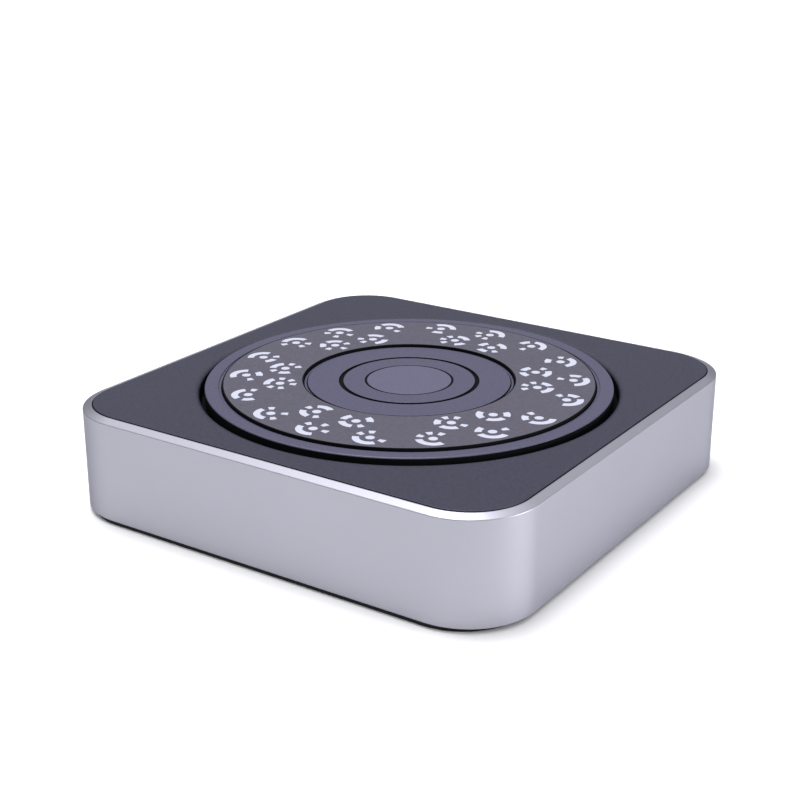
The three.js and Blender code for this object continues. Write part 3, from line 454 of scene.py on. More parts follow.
def rounded_box(low, high, radius, steps=4):
    """A box whose four edges along Y are rounded, in a mesh of its own."""
    bm = new_mesh()
    corners = [(low[0], low[2]), (high[0], low[2]), (high[0], high[2]), (low[0], high[2])]
    add_prism(bm, softened(corners, radius, steps), low[1], high[1])
    for v in bm.verts:
        v.co = (v.co.x, v.co.z, v.co.y)
    bmesh.ops.recalc_face_normals(bm, faces=bm.faces)
    return bm


def shade(bm):
    """Smooth faces, with open edges and those over the SHARP angle left sharp."""
    for face in bm.faces:
        face.smooth = True
    for edge in bm.edges:
        edge.smooth = len(edge.link_faces) == 2 and edge.calc_face_angle() < SHARP


def build(name, bm, material, scale=MM):
    """The mesh as a smooth-shaded object in metres, with its sharp edges kept."""
    bmesh.ops.remove_doubles(bm, verts=bm.verts, dist=1e-5)
    bmesh.ops.recalc_face_normals(bm, faces=bm.faces)
    bmesh.ops.scale(bm, verts=bm.verts, vec=(scale, scale, scale))
    shade(bm)
    data = bpy.data.meshes.new(name)
    bm.to_mesh(data)
    bm.free()
    obj = bpy.data.objects.new(name, data)
    bpy.context.scene.collection.objects.link(obj)
    data.materials.append(material)
    return obj


def with_walls(obj, below):
    """The faces under the height below get a near-black painted shade, standing for the shade on walls and in
    gaps under the lit top.
    """
    obj.data.materials.append(PAINTED_SHADE)
    for face in obj.data.polygons:
        if face.center.z < below * MM:
            face.material_index = 1
    return obj


def weighted(obj):
    """Flat faces keep flat shading beside their rounded edges."""
    made = obj.modifiers.new("weighted", "WEIGHTED_NORMAL")
    made.keep_sharp = True
    return obj


def applied(obj):
    """The object's mesh with its modifiers made permanent."""
    graph = bpy.context.evaluated_depsgraph_get()
    data = bpy.data.meshes.new_from_object(obj.evaluated_get(graph))
    obj.modifiers.clear()
    obj.data = data
    return obj


def eased(obj, width, angle):
    """A narrow bevel along the edges that turn by more than the angle."""
    ease = obj.modifiers.new("ease", "BEVEL")
    ease.width = width * MM
    ease.segments = 2
    ease.limit_method = "ANGLE"
    ease.angle_limit = angle
    ease.use_clamp_overlap = True
    return obj


CUT_ANGLE = math.radians(50)


def carved(obj, cutters, bevel=0.0):
    """The object with the cutter meshes taken out of it, and its new edges eased."""
    for bm in cutters:
        tool = build("cutter", bm, BLACK)
        cut = obj.modifiers.new("cut", "BOOLEAN")
        cut.operation = "DIFFERENCE"
        cut.solver = "EXACT"
        cut.object = tool
        applied(obj)
        bpy.data.objects.remove(tool)
    if bevel:
        applied(eased(obj, bevel, CUT_ANGLE))
    bm = new_mesh()
    bm.from_mesh(obj.data)
    shade(bm)
    bm.to_mesh(obj.data)
    bm.free()
    return obj


def place(obj, body, slot, *nodes):
    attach(obj, body)
    if nodes:
        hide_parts(*nodes)
    return weighted(obj)


# ---------------------------------------------------------------- housing

BAND_EDGE = 0.55  # how far the band's edges are rounded
WINDOW_CORNER = 2.5
WINDOW_EDGE = 0.3
CUT_REACH = 5  # how far the window's cutter reaches either side of the band's face


def side_band():
    """The silver band: a wall with a sloped upper edge, a ledge for the cover and a port window."""
    top, bottom = FRAME_HIGH.z, FRAME_LOW.z
    outline = [
        (EDGE_CLEAR, bottom + EDGE_CLEAR),
        (EDGE_CLEAR, top - BEVEL_DEPTH),
        (BEVEL_WIDTH, top),
        (BEVEL_WIDTH, LEDGE_TOP),
        (LEDGE_INSET, LEDGE_TOP),
        (LEDGE_INSET, LEDGE_BOTTOM),
        (WALL, LEDGE_BOTTOM),
        (WALL, bottom + EDGE_CLEAR),
    ]
    soft = softened(outline, BAND_EDGE, 5)
    bm = new_mesh()
    add_loft(bm, [square_loop(inset, z) for inset, z in soft])
    band = build("side_band", bm, SILVER)
    window_low = (-PORT_HALF_WIDTH, FRAME_HIGH.y - CUT_REACH, PORT_BOTTOM)
    window_high = (PORT_HALF_WIDTH, FRAME_HIGH.y + CUT_REACH, PORT_TOP)
    carved(band, [rounded_box(window_low, window_high, WINDOW_CORNER, 6)], WINDOW_EDGE)
    return place(band, "housing", "silver_paint", "side_frame")


def corners_at(distance):
    return [(-distance, -distance), (distance, -distance), (distance, distance), (-distance, distance)]


COVER_START = 6  # how far in from the cover's outer edge its outline begins and ends
COVER_EDGE = 0.35
WELL_EDGE = 0.5
BOSS_EDGE = 0.3
BOSS_BORE = 1.8
LIP_UNSHADED = 0.7  # how much of the shoulder's drop keeps the top's colour; below that it gets the painted shade


def cover_plate():
    """The dark top plate with its round opening and the well under the platter's edge."""
    top = COVER_HIGH.z
    inset = (WIDTH - (COVER_HIGH.x - COVER_LOW.x)) / 2
    wall = OPENING + WELL_WALL
    start = inset + COVER_START
    outer = [(start, COVER_BOTTOM), (inset, COVER_BOTTOM), (inset, top), (start, top)]
    lip = OPENING - LIP_OVERHANG
    shoulder = [
        (lip + LIP_REACH * (1 - math.cos(t)), top - LIP_DROP * (1 - math.sin(t)))
        for t in (math.pi / 2 * (1 - step / LIP_STEPS) for step in range(LIP_STEPS + 1))
    ]
    inner = [
        (lip, top - LIP_DROP),
        (lip, WELL_TOP),
        (WELL_INNER, WELL_TOP),
        (WELL_INNER, WELL_BOTTOM),
        (wall, WELL_BOTTOM),
        (wall, COVER_BOTTOM),
    ]
    loops = [square_loop(i, z) for i, z in softened(outer, COVER_EDGE, 4, closed=False)]
    loops += [matched_loop(r, z) for r, z in shoulder[:-1] + softened(inner, WELL_EDGE, 4, closed=False)]
    bm = new_mesh()
    add_loft(bm, loops)
    boss = [
        (BOSS_BORE, BOSS_BOTTOM),
        (BOSS_RADIUS, BOSS_BOTTOM),
        (BOSS_RADIUS, COVER_BOTTOM),
        (BOSS_BORE, COVER_BOTTOM),
    ]
    for x, y in corners_at(BOSS_PLACE):
        add_turned(bm, softened(boss, BOSS_EDGE, 2), 32, (x, y, 0))
    # The walls, the lower part of the shoulder, the well and the bosses get the painted shade.
    cover = with_walls(build("cover_plate", bm, COVER), top - LIP_DROP * LIP_UNSHADED)
    return place(cover, "housing", "cover_grey", "top_cover")


FOOT_GROOVES = (0.8, 0.55, 0.3)  # radii, as shares of the foot's
FOOT_GROOVE_MOUTH = 0.5  # half width where the groove opens
FOOT_GROOVE_FLOOR = 0.35
FOOT_GROOVE_DEPTH = 0.3
FOOT_EDGE = 0.15


def feet():
    """Four rubber feet with grooves in their soles."""
    for name in ("front_left", "front_right", "rear_right", "rear_left"):
        low, high = box_mm(f"foot_{name}")
        radius = (high.x - low.x) / 2
        outline = [(0, high.z), (radius, high.z), (radius, low.z)]
        for share in FOOT_GROOVES:
            r = radius * share
            roof = low.z + FOOT_GROOVE_DEPTH
            outline += [(r + FOOT_GROOVE_MOUTH, low.z), (r + FOOT_GROOVE_FLOOR, roof)]
            outline += [(r - FOOT_GROOVE_FLOOR, roof), (r - FOOT_GROOVE_MOUTH, low.z)]
        outline.append((0, low.z))
        bm = new_mesh()
        centre = (low + high) / 2
        add_turned(bm, softened(outline, FOOT_EDGE, 2, closed=False), 72, (centre.x, centre.y, 0))
        place(build(f"rubber_foot_{name}", bm, RUBBER), "housing", "rubber", f"foot_{name}")


# ---------------------------------------------------------------- platter

DISC_STEPS = 320
SKIRT_EDGE = 0.4
RIB_EDGE = 0.3
RIB_GAP = 0.3  # between a rib and the ring or pad beside it
INK_HEIGHT = 0.03


def turntable_disc():
    """The rotating plate: a skirt, a rounded rim, and a floor with low ribs beside the ring and the pad."""
    top = PLATTER_HIGH.z
    radius = (PLATTER_HIGH.x - PLATTER_LOW.x) / 2
    skirt = [
        (0, PLATTER_UNDERSIDE),
        (SKIRT_INNER, PLATTER_UNDERSIDE),
        (SKIRT_INNER, PLATTER_LOW.z),
        (radius, PLATTER_LOW.z),
        (radius, top - RIM_ROUNDING),
    ]
    edge = [(radius, top - 2 * RIM_ROUNDING), (radius, top), (radius - 2 * RIM_ROUNDING, top)]
    ring_outer = (MARKER_HIGH.x - MARKER_LOW.x) / 2
    pad_outer = (PAD_HIGH.x - PAD_LOW.x) / 2
    rim = [
        (radius - RIM_ROUNDING, top),
        (RIM_INNER, top),
        (RIM_INNER, VALLEY),
        (ring_outer + RIB_GAP, VALLEY),
        (ring_outer + RIB_GAP, PLATTER_FLOOR),
        (MARKER_INNER - RIB_GAP, PLATTER_FLOOR),
        (MARKER_INNER - RIB_GAP, VALLEY),
        (pad_outer + RIB_GAP, VALLEY),
        (pad_outer + RIB_GAP, PLATTER_FLOOR),
        (0, PLATTER_FLOOR),
    ]
    outline = softened(skirt, SKIRT_EDGE, 5, closed=False)[:-1]
    outline += softened(edge, RIM_ROUNDING, 8, closed=False)[1:-1]
    outline += softened(rim, RIB_EDGE, 5, closed=False)[1:]
    bm = new_mesh()
    add_turned(bm, outline, DISC_STEPS)
    # Everything under half the rim's rounding gets the painted shade: walls, groove floors, skirt and
    # underside.
    disc = with_walls(build("turntable_disc", bm, PLATTER), top - RIM_ROUNDING / 2)
    return place(disc, "turntable", "platter_grey", "platter")


RING_EDGE = 0.15


def marker_disc():
    """The flat ring under the prints, with a band of painted shade at both of its edges."""
    outer = (MARKER_HIGH.x - MARKER_LOW.x) / 2
    top = MARKER_HIGH.z - INK_HEIGHT
    low = MARKER_LOW.z
    film_outer, film_inner = outer - RING_SHADE_BAND, MARKER_INNER + RING_SHADE_BAND
    outline = [(MARKER_INNER, low), (outer, low), (outer, top)]
    outline += [(film_outer, top), (film_inner, top), (MARKER_INNER, top)]
    bm = new_mesh()
    add_turned(bm, softened(outline, RING_EDGE, 3), DISC_STEPS)
    # The ring's walls and underside get the painted shade.
    disc = with_walls(build("marker_disc", bm, MARKER), top - UNSHADED_DROP)
    # The bands at the film's edges get the painted shade too.
    for face in disc.data.polygons:
        distance = face.center.xy.length / MM
        if distance > film_outer or distance < film_inner:
            face.material_index = 1
    return place(disc, "turntable", "marker_print", "marker_ring")


PAD_EDGE = 0.22


def centre_disc():
    """The pad in the middle, with two grooves and a slightly paler centre."""
    radius = (PAD_HIGH.x - PAD_LOW.x) / 2
    top = PAD_HIGH.z
    outline = [(0, top)]
    for r, width, depth in PAD_GROOVES:
        a, b = r - width / 2, r + width / 2
        outline += [(a, top), (a, top - depth), (b, top - depth), (b, top)]
    outline += [(radius, top), (radius, PAD_LOW.z), (0, PAD_LOW.z)]
    bm = new_mesh()
    add_turned(bm, softened(outline, PAD_EDGE, 4, closed=False), 240)
    # The pad's walls, groove floors and underside get the painted shade.
    disc = with_walls(build("centre_disc", bm, PLATTER), top - UNSHADED_DROP)
    disc.data.materials.append(PAD_CENTRE)
    insert = (PAD_GROOVES[0][0] - PAD_GROOVES[0][1] / 2) * MM
    for face in disc.data.polygons:
        if face.center.xy.length < insert and face.material_index == 0:
            face.material_index = 2
    return place(disc, "turntable", "platter_grey", "centre_pad")


# ---------------------------------------------------------------- printed markers

SECTORS = 15
LIT = 8
SECTOR = 2 * math.pi / SECTORS
SECTOR_STEPS = 6
DOT_RADIUS = 1.85
DOT_STEPS = 40
ARC_INNER = 4.2
ARC_OUTER = 7.0
# "start" is the first marker's place round the ring. "run" is how many sectors a marker's longest lit run
# has, and "first" is where that run begins, counted from the outward direction.
OUTER_MARKERS = {"radius": 69.6, "start": math.radians(11.2), "run": 5, "first": math.radians(-30)}
INNER_MARKERS = {"radius": 54.8, "start": math.radians(21.2), "run": 3, "first": math.radians(-6)}
MARKER_PLACES = 18
INNER_GROUP = 3
SKIPPED = 2  # the place left empty in each group of the inner row


def spins(word):
    return [word[i:] + word[:i] for i in range(len(word))]


def ring_words(run, count):
    """Evenly picked ring codes, no two alike when turned, whose longest lit run is run sectors."""
    found = []
    for number in range(2**SECTORS):
        word = format(number, f"0{SECTORS}b")
        if word.count("1") == LIT and word == max(spins(word)) and word.startswith("1" * run + "0"):
            found.append(word)
    return [found[int((i + 0.5) * len(found) / count)] for i in range(count)]


def lit_runs(word):
    """(first sector, sector count) of each unbroken lit stretch round the ring."""
    starts = [i for i in range(SECTORS) if word[i] == "1" and word[i - 1] == "0"]
    runs = []
    for start in starts:
        length = 1
        while word[(start + length) % SECTORS] == "1":
            length += 1
        runs.append((start, length))
    return runs


def add_marker(bm, row, angle, word, z):
    """A dot and its ring of lit sectors, which are read clockwise."""
    centre = (row["radius"] * math.cos(angle), row["radius"] * math.sin(angle))
    dot = [(DOT_RADIUS * math.cos(a), DOT_RADIUS * math.sin(a)) for a in turn_steps(DOT_STEPS)]
    add_prism(bm, dot, z, z + INK_HEIGHT, centre)
    for start, length in lit_runs(word):
        first = angle - row["first"] - start * SECTOR
        sweep = length * SECTOR
        steps = SECTOR_STEPS * length
        angles = [first - sweep * i / steps for i in range(steps + 1)]
        arc = [(ARC_OUTER * math.cos(a), ARC_OUTER * math.sin(a)) for a in angles]
        arc += [(ARC_INNER * math.cos(a), ARC_INNER * math.sin(a)) for a in reversed(angles)]
        add_prism(bm, arc, z, z + INK_HEIGHT, centre)


def marker_prints():
    z = MARKER_HIGH.z - INK_HEIGHT
    bm = new_mesh()
    step = 2 * math.pi / MARKER_PLACES
    for row in (OUTER_MARKERS, INNER_MARKERS):
        for i, word in enumerate(ring_words(row["run"], MARKER_PLACES)):
            if row is OUTER_MARKERS or i % INNER_GROUP != SKIPPED:
                add_marker(bm, row, row["start"] + i * step, word, z)
    return place(build("marker_prints", bm, INK), "turntable", "marker_print")


# ---------------------------------------------------------------- ports

CLEARANCE = 0.4  # between the panel and what stands in it
PANEL_CORNER = 1.5
PANEL_EDGE = 0.2
RECESS_INSET = 0.3
RECESS_CORNER = 2.2
USB_HOLE_CORNER = 0.8
SWITCH_HOLE_CORNER = 0.6
SWITCH_FLANGE = (1.2, 1.3)  # how far the switch's frame reaches past its body
JACK_HOLE = 4.6


def port_panel():
    """The black panel behind the band's window, recessed, with a hole for each port."""
    low, high = PANEL_LOW, PANEL_HIGH
    panel = build("port_panel", rounded_box(low, high, PANEL_CORNER), BLACK)
    y0, y1 = low.y - 1, high.y + 1
    side = PORT_HALF_WIDTH - RECESS_INSET
    recess = rounded_box(
        (-side, PANEL_FACE, PORT_BOTTOM + RECESS_INSET), (side, y1, PORT_TOP - RECESS_INSET), RECESS_CORNER, 6
    )
    usb = rounded_box(
        (USB_LOW.x - CLEARANCE, y0, USB_LOW.z - CLEARANCE),
        (USB_HIGH.x + CLEARANCE, y1, USB_HIGH.z + CLEARANCE),
        USB_HOLE_CORNER,
    )
    inset_x, inset_z = (flange - CLEARANCE for flange in SWITCH_FLANGE)
    switch = rounded_box(
        (SWITCH_LOW.x + inset_x, y0, SWITCH_LOW.z + inset_z),
        (SWITCH_HIGH.x - inset_x, y1, SWITCH_HIGH.z - inset_z),
        SWITCH_HOLE_CORNER,
    )
    jack = new_mesh()
    middle = (JACK_LOW.z + JACK_HIGH.z) / 2
    add_turned(jack, [(0, y0), (JACK_HOLE, y0), (JACK_HOLE, y1), (0, y1)], 64, (0, 0, middle), "Y")
    carved(panel, [recess, usb, switch, jack], PANEL_EDGE)
    return place(panel, "housing", "black_plastic", "rear_port_panel")


USB_CORNER = 0.9
USB_EDGE = 0.15
MOUTH_HALF = (4.25, 3.9)
MOUTH_CUT = 1.6  # the mouth's two bevelled upper corners
MOUTH_CORNER = 0.4
MOUTH_DEPTH = 12
MOUTH_CUTTER = 20  # long enough to pass the socket's face
TONGUE_HALF = (2.8, 1.6)
TONGUE_CORNER = 0.4
TONGUE_SETBACK = 4.8  # behind the socket's face
CONTACT_PLACE = 1.3
CONTACT_HALF = (0.45, 0.06)
CONTACT_SETBACK = 0.6  # behind the tongue's tip


def usb_port():
    """A type B socket: its steel shell, and the tongue with four contacts."""
    middle_x = (USB_LOW.x + USB_HIGH.x) / 2
    middle_z = (USB_LOW.z + USB_HIGH.z) / 2
    shell = build("usb_shell", rounded_box(USB_LOW, USB_HIGH, USB_CORNER, 5), TIN)
    w, h = MOUTH_HALF
    mouth = new_mesh()
    slope_x, slope_z = w - MOUTH_CUT, h - MOUTH_CUT
    outline = [(-w, -h), (w, -h), (w, slope_z), (slope_x, h), (-slope_x, h), (-w, slope_z)]
    add_prism(mouth, softened(outline, MOUTH_CORNER, 3), 0, MOUTH_CUTTER)
    y0, y1 = USB_HIGH.y - MOUTH_DEPTH, USB_HIGH.y - TONGUE_SETBACK
    turn = Matrix.Translation((middle_x, y0, middle_z)) @ Matrix.Rotation(-math.pi / 2, 4, "X")
    flip = Matrix.Rotation(math.pi, 4, "Z")
    bmesh.ops.transform(mouth, matrix=turn @ flip, verts=mouth.verts)
    bmesh.ops.recalc_face_normals(mouth, faces=mouth.faces)
    carved(shell, [mouth], USB_EDGE)
    place(shell, "housing", "bright_steel", "usb_socket")
    w, h = TONGUE_HALF
    tongue = rounded_box(
        (middle_x - w, y0, middle_z - h), (middle_x + w, y1, middle_z + h), TONGUE_CORNER, 3
    )
    place(build("usb_tongue", tongue, ACETAL), "housing", "acetal")
    contacts = new_mesh()
    w, thick = CONTACT_HALF
    for x in (middle_x - CONTACT_PLACE, middle_x + CONTACT_PLACE):
        for z in (middle_z - h, middle_z + h):
            add_box(contacts, (x - w, y0, z - thick), (x + w, y1 - CONTACT_SETBACK, z + thick))
    place(build("usb_contacts", contacts, GOLD), "housing", "brass")


JACK_BODY_FRONT = 99.2
JACK_CORNER = 0.8
BARREL_INNER = 3.2
BARREL_OUTER = 4.2
BARREL_NECK = 4.0
BARREL_NECK_FRONT = 98.6
BARREL_EDGE = 0.25
JACK_DEPTH = 10
JACK_BORE = 3.1
PIN_RADIUS = 1
PIN_TIP = 0.5
PIN_SUNK = 0.2  # into the bore's floor
PIN_SETBACK = 1  # behind the barrel's face
SLEEVE_INNER, SLEEVE_OUTER = 2.75, 3.05
SLEEVE_BACK, SLEEVE_FRONT = 9.8, 2.5  # both behind the barrel's face


def power_port():
    """A barrel jack: its body, centre pin and sleeve."""
    middle = (JACK_LOW.z + JACK_HIGH.z) / 2
    axis = (0, 0, middle)
    face = JACK_HIGH.y
    back = face - JACK_DEPTH
    body = rounded_box(JACK_LOW, (JACK_HIGH.x, JACK_BODY_FRONT, JACK_HIGH.z), JACK_CORNER)
    outline = [(BARREL_INNER, back), (BARREL_INNER, face), (BARREL_OUTER, face)]
    outline += [(BARREL_OUTER, BARREL_NECK_FRONT), (BARREL_NECK, BARREL_NECK_FRONT), (BARREL_NECK, back)]
    add_turned(body, softened(outline, BARREL_EDGE, 3), 64, axis, "Y")
    jack = build("jack_body", body, BLACK)
    bore = new_mesh()
    add_turned(bore, [(0, back), (JACK_BORE, back), (JACK_BORE, face + 1), (0, face + 1)], 64, axis, "Y")
    bmesh.ops.recalc_face_normals(bore, faces=bore.faces)
    carved(jack, [bore])
    place(jack, "housing", "black_plastic", "power_jack")
    pin = new_mesh()
    y0, y1 = back - PIN_SUNK, face - PIN_SETBACK
    rod = [(0, y0), (PIN_RADIUS, y0), (PIN_RADIUS, y1), (0, y1)]
    add_turned(pin, softened(rod, PIN_TIP, 4, closed=False), 32, axis, "Y")
    place(build("jack_pin", pin, TIN), "housing", "bright_steel")
    sleeve = new_mesh()
    y0, y1 = face - SLEEVE_BACK, face - SLEEVE_FRONT
    ring = [(SLEEVE_INNER, y0), (SLEEVE_OUTER, y0), (SLEEVE_OUTER, y1), (SLEEVE_INNER, y1)]
    add_turned(sleeve, ring, 48, axis, "Y")
    place(build("jack_sleeve", sleeve, TIN), "housing", "bright_steel")


SWITCH_BODY = (9.3, 6.2)  # half sizes along X and Z
SWITCH_BODY_CORNER = 0.6
SWITCH_BEZEL = (10.5, 7.5)
SWITCH_POCKET = (8.1, 5)
POCKET_CORNER = 0.5
POCKET_FLOOR = 95
BEZEL_DEPTH = 1.5
BEZEL_OVERLAP = 0.3
BEZEL_CORNER = 1.2
BEZEL_EDGE = 0.35


def switch_box(half, y0, y1, radius, steps=3):
    """A rounded box of those half sizes about the rocker's pivot, from y0 to y1."""
    x, _, z = ROCKER_PIVOT
    return rounded_box((x - half[0], y0, z - half[1]), (x + half[0], y1, z + half[1]), radius, steps)


def switch_shell():
    """The rocker's housing and the bezel round it, both open for the rocker."""
    back, front = SWITCH_LOW.y, SWITCH_HIGH.y
    bezel_back = front - BEZEL_DEPTH
    pocket = (SWITCH_POCKET, POCKET_FLOOR, front + 1, POCKET_CORNER)
    body = switch_box(SWITCH_BODY, back, bezel_back + BEZEL_OVERLAP, SWITCH_BODY_CORNER)
    shell = build("switch_shell", body, BLACK)
    carved(shell, [switch_box(*pocket)])
    bezel = build("bezel", switch_box(SWITCH_BEZEL, bezel_back, front, BEZEL_CORNER, 5), BLACK)
    carved(bezel, [switch_box(*pocket)], BEZEL_EDGE)
    bm = new_mesh()
    bm.from_mesh(shell.data)
    bm.from_mesh(bezel.data)
    bpy.data.objects.remove(shell)
    bpy.data.objects.remove(bezel)
    whole = build("switch_shell", bm, BLACK, scale=1)
    return place(whole, "housing", "black_plastic", "power_switch_housing")


ROCKER_HALF = 7  # from its middle to either end
ROCKER_MIDDLE = 4.0  # height of its face over the pivot, in the middle
ROCKER_RISE = 1.0  # how much higher the ends are
ROCKER_DISH = 0.25
ROCKER_BELLY = [(-ROCKER_HALF, 2), (-ROCKER_HALF / 2, -2.5), (ROCKER_HALF / 2, -2.5), (ROCKER_HALF, 2)]
ROCKER_HALF_WIDTH = 4.7
ROCKER_STEPS = 24
ROCKER_EDGE = 0.3
PIVOT_PIN = (0.9, 5.6)  # radius and reach
MARK_PLACE = 3.7
MARK_LIFT = 0.03
OFF_RING = (1.5, 1.15)
OFF_STEPS = 32
ON_BAR = (0.18, 1.6)


def rocker_face(x):
    """Height of the rocker's dished face over its pivot."""
    along = abs(x) / ROCKER_HALF
    return ROCKER_MIDDLE + ROCKER_RISE * along - ROCKER_DISH * math.sin(math.pi * along)


def add_mark(bm, corners, shift):
    """A thin printed patch on the rocker's face, closed so that it has a thickness."""
    top, low = (
        [bm.verts.new((x + shift, rocker_face(x + shift) + lift, z)) for x, z in corners]
        for lift in (MARK_LIFT, -MARK_LIFT)
    )
    bm.faces.new(top)
    bm.faces.new(list(reversed(low)))
    for i in range(len(corners)):
        j = (i + 1) % len(corners)
        bm.faces.new((top[i], low[i], low[j], top[j]))


def rocker_paddle():
    """The rocker with its two dished faces, and the on and off marks printed on them."""
    places = [ROCKER_HALF * (1 - 2 * i / ROCKER_STEPS) for i in range(ROCKER_STEPS + 1)]
    outline = ROCKER_BELLY + [(x, rocker_face(x)) for x in places]
    bm = new_mesh()
    add_prism(bm, outline, -ROCKER_HALF_WIDTH, ROCKER_HALF_WIDTH)
    radius, reach = PIVOT_PIN
    add_turned(bm, [(0, -reach), (radius, -reach), (radius, reach), (0, reach)], 24)
    at = Matrix.Translation(ROCKER_PIVOT) @ Matrix.Rotation(ROCKER_TILT, 4, "Z")
    bmesh.ops.transform(bm, matrix=at, verts=bm.verts)
    paddle = build("rocker_paddle", bm, GLOSS_BLACK)
    carved(paddle, [], ROCKER_EDGE)
    place(paddle, "switch_rocker", "black_plastic", "power_switch_rocker")
    marks = new_mesh()
    outer, inner = OFF_RING
    angles = turn_steps(OFF_STEPS)
    for a, b in zip(angles, angles[1:] + angles[:1]):
        corners = ((outer, a), (outer, b), (inner, b), (inner, a))
        add_mark(marks, [(r * math.cos(t), r * math.sin(t)) for r, t in corners], -MARK_PLACE)
    w, h = ON_BAR
    add_mark(marks, [(-w, -h), (w, -h), (w, h), (-w, h)], MARK_PLACE)
    bmesh.ops.transform(marks, matrix=at, verts=marks.verts)
    place(build("rocker_marks", marks, INK), "switch_rocker", "marker_print")


# ---------------------------------------------------------------- screws

FLAT_HEAD = 1.4
ROUND_HEAD = 1.9 / 2.75  # a round head's depth to its radius
HEAD_RIM = 0.2
SHANK_SHARE = 0.54
KEY_SHARE = 0.5  # the hexagonal recess across its corners, as a share of the head
KEY_DEPTH = 0.6
THREAD_START = 0.3
THREAD_PITCH = 0.5
THREAD_DEPTH = 0.22
TIP_CHAMFER = 0.4
SCREW_STEPS = 24


def hexagon_point(point, radius):
    """The point moved onto a hexagon of that size across its corners."""
    angle = math.atan2(point.y, point.x)
    within = (angle % (math.pi / 3)) - math.pi / 6
    reach = radius * math.cos(math.pi / 6) / math.cos(within)
    return Vector((reach * math.cos(angle), reach * math.sin(angle)))


def add_screw(bm, node, flat, upside_down):
    """A socket-head screw in the place of a CAD one, with a rounded or flat head and a thread."""
    low, high = box_mm(node)
    radius = (high.x - low.x) / 2
    length = high.z - low.z
    head = FLAT_HEAD if flat else ROUND_HEAD * radius
    shank = radius * SHANK_SHARE
    key = radius * KEY_SHARE
    key_floor = length - head * KEY_DEPTH
    outline = [(0, key_floor), (key, key_floor), (key, length), (radius, length)]
    outline += [(radius, length - (HEAD_RIM if flat else head)), (shank, length - head)]
    z = length - head - THREAD_START
    while z > 2 * THREAD_PITCH:
        outline += [(shank, z), (shank - THREAD_DEPTH, z - THREAD_PITCH / 2)]
        z -= THREAD_PITCH
    outline += [(shank, z), (shank - TIP_CHAMFER, 0), (0, 0)]
    part = new_mesh()
    add_turned(part, outline, SCREW_STEPS)
    for v in part.verts:
        if v.co.z > key_floor - 1e-3 and 1e-6 < v.co.xy.length < key + 1e-3:
            v.co.xy = hexagon_point(v.co.xy, key)
    centre = (low + high) / 2
    at = Matrix.Translation((centre.x, centre.y, high.z if upside_down else low.z))
    if upside_down:
        at = at @ Matrix.Rotation(math.pi, 4, "X")
    bmesh.ops.transform(part, matrix=at, verts=part.verts)
    data = bpy.data.meshes.new("screw")
    part.to_mesh(data)
    part.free()
    bm.from_mesh(data)
    bpy.data.meshes.remove(data)


def screws():
    flat = ("base_screw", "platter_screw")
    hanging = ("base_screw", "gear_screw")
    for name in sorted(frame["nodes"]):
        if "_screw" not in name:
            continue
        bm = new_mesh()
        add_screw(bm, name, name.startswith(flat), name.startswith(hanging))
        place(build(f"fine_{name}", bm, ZINC), frame["nodes"][name]["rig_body"], "screw_steel", name)


# ---------------------------------------------------------------- CAD pieces that stay

KEPT = {
    "base_plate": BLACK_STEEL,
    "platter_hub": CAST,
    "spindle": STEEL,
    "spindle_retaining_ring": STEEL,
    "drive_gear": ACETAL,
    "motor_pinion": BRASS,
    "bearing_pedestal": CAST,
    "lower_bush": BRONZE,
    "upper_bush": BRONZE,
    "lower_thrust_washer": STEEL,
    "upper_thrust_washer": STEEL,
    "ball_cage": BRASS,
    "motor_rear_cap": CAST,
    "motor_stator": LAMINATED,
    "motor_front_cap": CAST,
    "motor_rotor": STEEL,
    "motor_bracket": STEEL,
    "control_board": BOARD,
    "controller_chip": CHIP,
    "motor_driver_chip": CHIP,
    "driver_heatsink": CAST,
    "smoothing_capacitor": SLEEVE,
    "motor_header": ACETAL,
    "motor_lead": JACKET,
    "switch_lead": JACKET,
}


KEPT_EDGE = 0.15
KEPT_ANGLE = math.radians(40)


def finish_kept_pieces():
    for name, material in KEPT.items():
        obj = frame["nodes"][name]
        obj.data.materials.clear()
        obj.data.materials.append(material)
        weighted(eased(obj, KEPT_EDGE, KEPT_ANGLE))


# ---------------------------------------------------------------- studio

FLOOR_SIZE = 14.0


def studio_floor():
    """A pale table that is lit a little from below, as a product table is."""
    bm = new_mesh()
    half = FLOOR_SIZE / 2
    bm.faces.new([bm.verts.new((x, y, 0)) for x, y in corners_at(half)])
    material = surface("studio_floor", (0.88, 0.88, 0.88), 0.7, variation=0.004, blotch=4, bump=0.0)
    shader = material.node_tree.nodes["Principled BSDF"]
    shader.inputs["Emission Color"].default_value = (1, 1, 1, 1)
    shader.inputs["Emission Strength"].default_value = 0.02
    floor = build("studio_floor", bm, material, scale=1)


LAMP_COLOR = (0.98, 0.98, 1.0)


def area_light(name, azimuth, elevation, distance, size, power):
    """A soft panel that faces the object. Azimuth is counted from the camera's -Y side towards +X."""
    data = bpy.data.lights.new(name, "AREA")
    data.shape = "RECTANGLE"
    data.size, data.size_y = size
    data.energy = power
    data.color = LAMP_COLOR
    lamp = bpy.data.objects.new(name, data)
    a, e = math.radians(azimuth), math.radians(elevation)
    lamp.location = Vector((math.sin(a) * math.cos(e), -math.cos(a) * math.cos(e), math.sin(e))) * distance
    lamp.rotation_euler = (-lamp.location).to_track_quat("-Z", "Y").to_euler()
    bpy.context.scene.collection.objects.link(lamp)


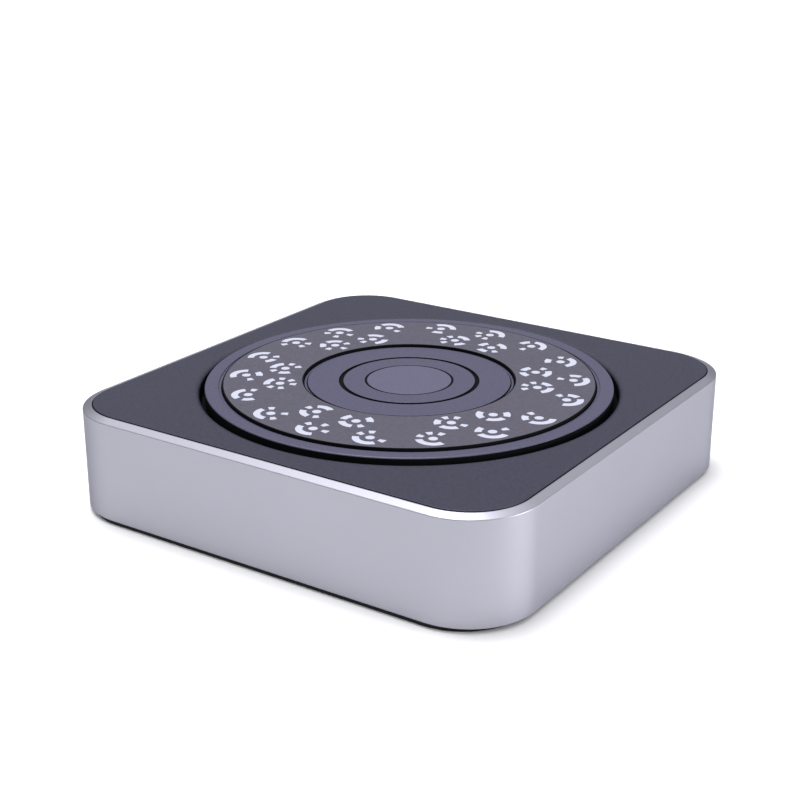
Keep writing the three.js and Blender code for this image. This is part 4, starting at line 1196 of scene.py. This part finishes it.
def studio_world():
    """A room that is dim near the horizon and brighter overhead, with a white wall behind the floor.

    The wall is only seen, and lights nothing, so the floor runs into it when the view is low.
    """
    world = bpy.data.worlds.new("studio")
    world.use_nodes = True
    tree = world.node_tree
    direction = node(tree, "ShaderNodeTexCoord")
    parts = node(tree, "ShaderNodeSeparateXYZ")
    sky = node(tree, "ShaderNodeValToRGB")
    sky.color_ramp.elements[0].position = 0.40
    sky.color_ramp.elements[1].position = 0.82
    sky.color_ramp.elements[0].color = (0.36, 0.36, 0.39, 1)
    sky.color_ramp.elements[1].color = (1.38, 1.38, 1.41, 1)
    tree.links.new(direction.outputs["Generated"], parts.inputs["Vector"])
    tree.links.new(parts.outputs["Z"], sky.inputs["Fac"])
    seen = node(tree, "ShaderNodeLightPath")
    wall = node(tree, "ShaderNodeMix", data_type="RGBA")
    wall.inputs["B"].default_value = (1.1, 1.1, 1.1, 1)
    tree.links.new(seen.outputs["Is Camera Ray"], wall.inputs["Factor"])
    tree.links.new(sky.outputs["Color"], wall.inputs["A"])
    tree.links.new(wall.outputs["Result"], tree.nodes["Background"].inputs["Color"])
    bpy.context.scene.world = world


def studio_lights():
    area_light("key_panel", azimuth=-96, elevation=79.5, distance=3.0, size=(1.1, 1.1), power=62)
    area_light("right_panel", azimuth=104, elevation=8, distance=1.4, size=(0.6, 0.4), power=11)


# ---------------------------------------------------------------- camera

CAMERA_AZIMUTH = math.radians(33.94)
CAMERA_ELEVATION = math.radians(20.54)
CAMERA_DISTANCE = 633.3
CAMERA_PAN = (-3.88, -7.53)
CAMERA_LENS = 66.95


def studio_camera():
    data = bpy.data.cameras.new("camera")
    data.lens = CAMERA_LENS
    data.sensor_width = 36
    camera = bpy.data.objects.new("camera", data)
    a, e = CAMERA_AZIMUTH, CAMERA_ELEVATION
    back = Vector((math.sin(a) * math.cos(e), -math.cos(a) * math.cos(e), math.sin(e)))
    right = Vector((math.cos(a), math.sin(a), 0))
    up = back.cross(right)
    target = Vector((0, 0, COVER_HIGH.z)) + right * CAMERA_PAN[0] + up * CAMERA_PAN[1]
    turn = Matrix((right, up, back)).transposed().to_4x4()
    camera.matrix_world = Matrix.Translation((target + back * CAMERA_DISTANCE) * MM) @ turn
    bpy.context.scene.collection.objects.link(camera)
    bpy.context.scene.camera = camera


studio_camera()
studio_world()
studio_lights()
studio_floor()
bpy.context.scene.view_settings.view_transform = "Standard"

side_band()
cover_plate()
feet()
turntable_disc()
marker_disc()
centre_disc()
marker_prints()
port_panel()
usb_port()
power_port()
switch_shell()
rocker_paddle()
screws()
finish_kept_pieces()
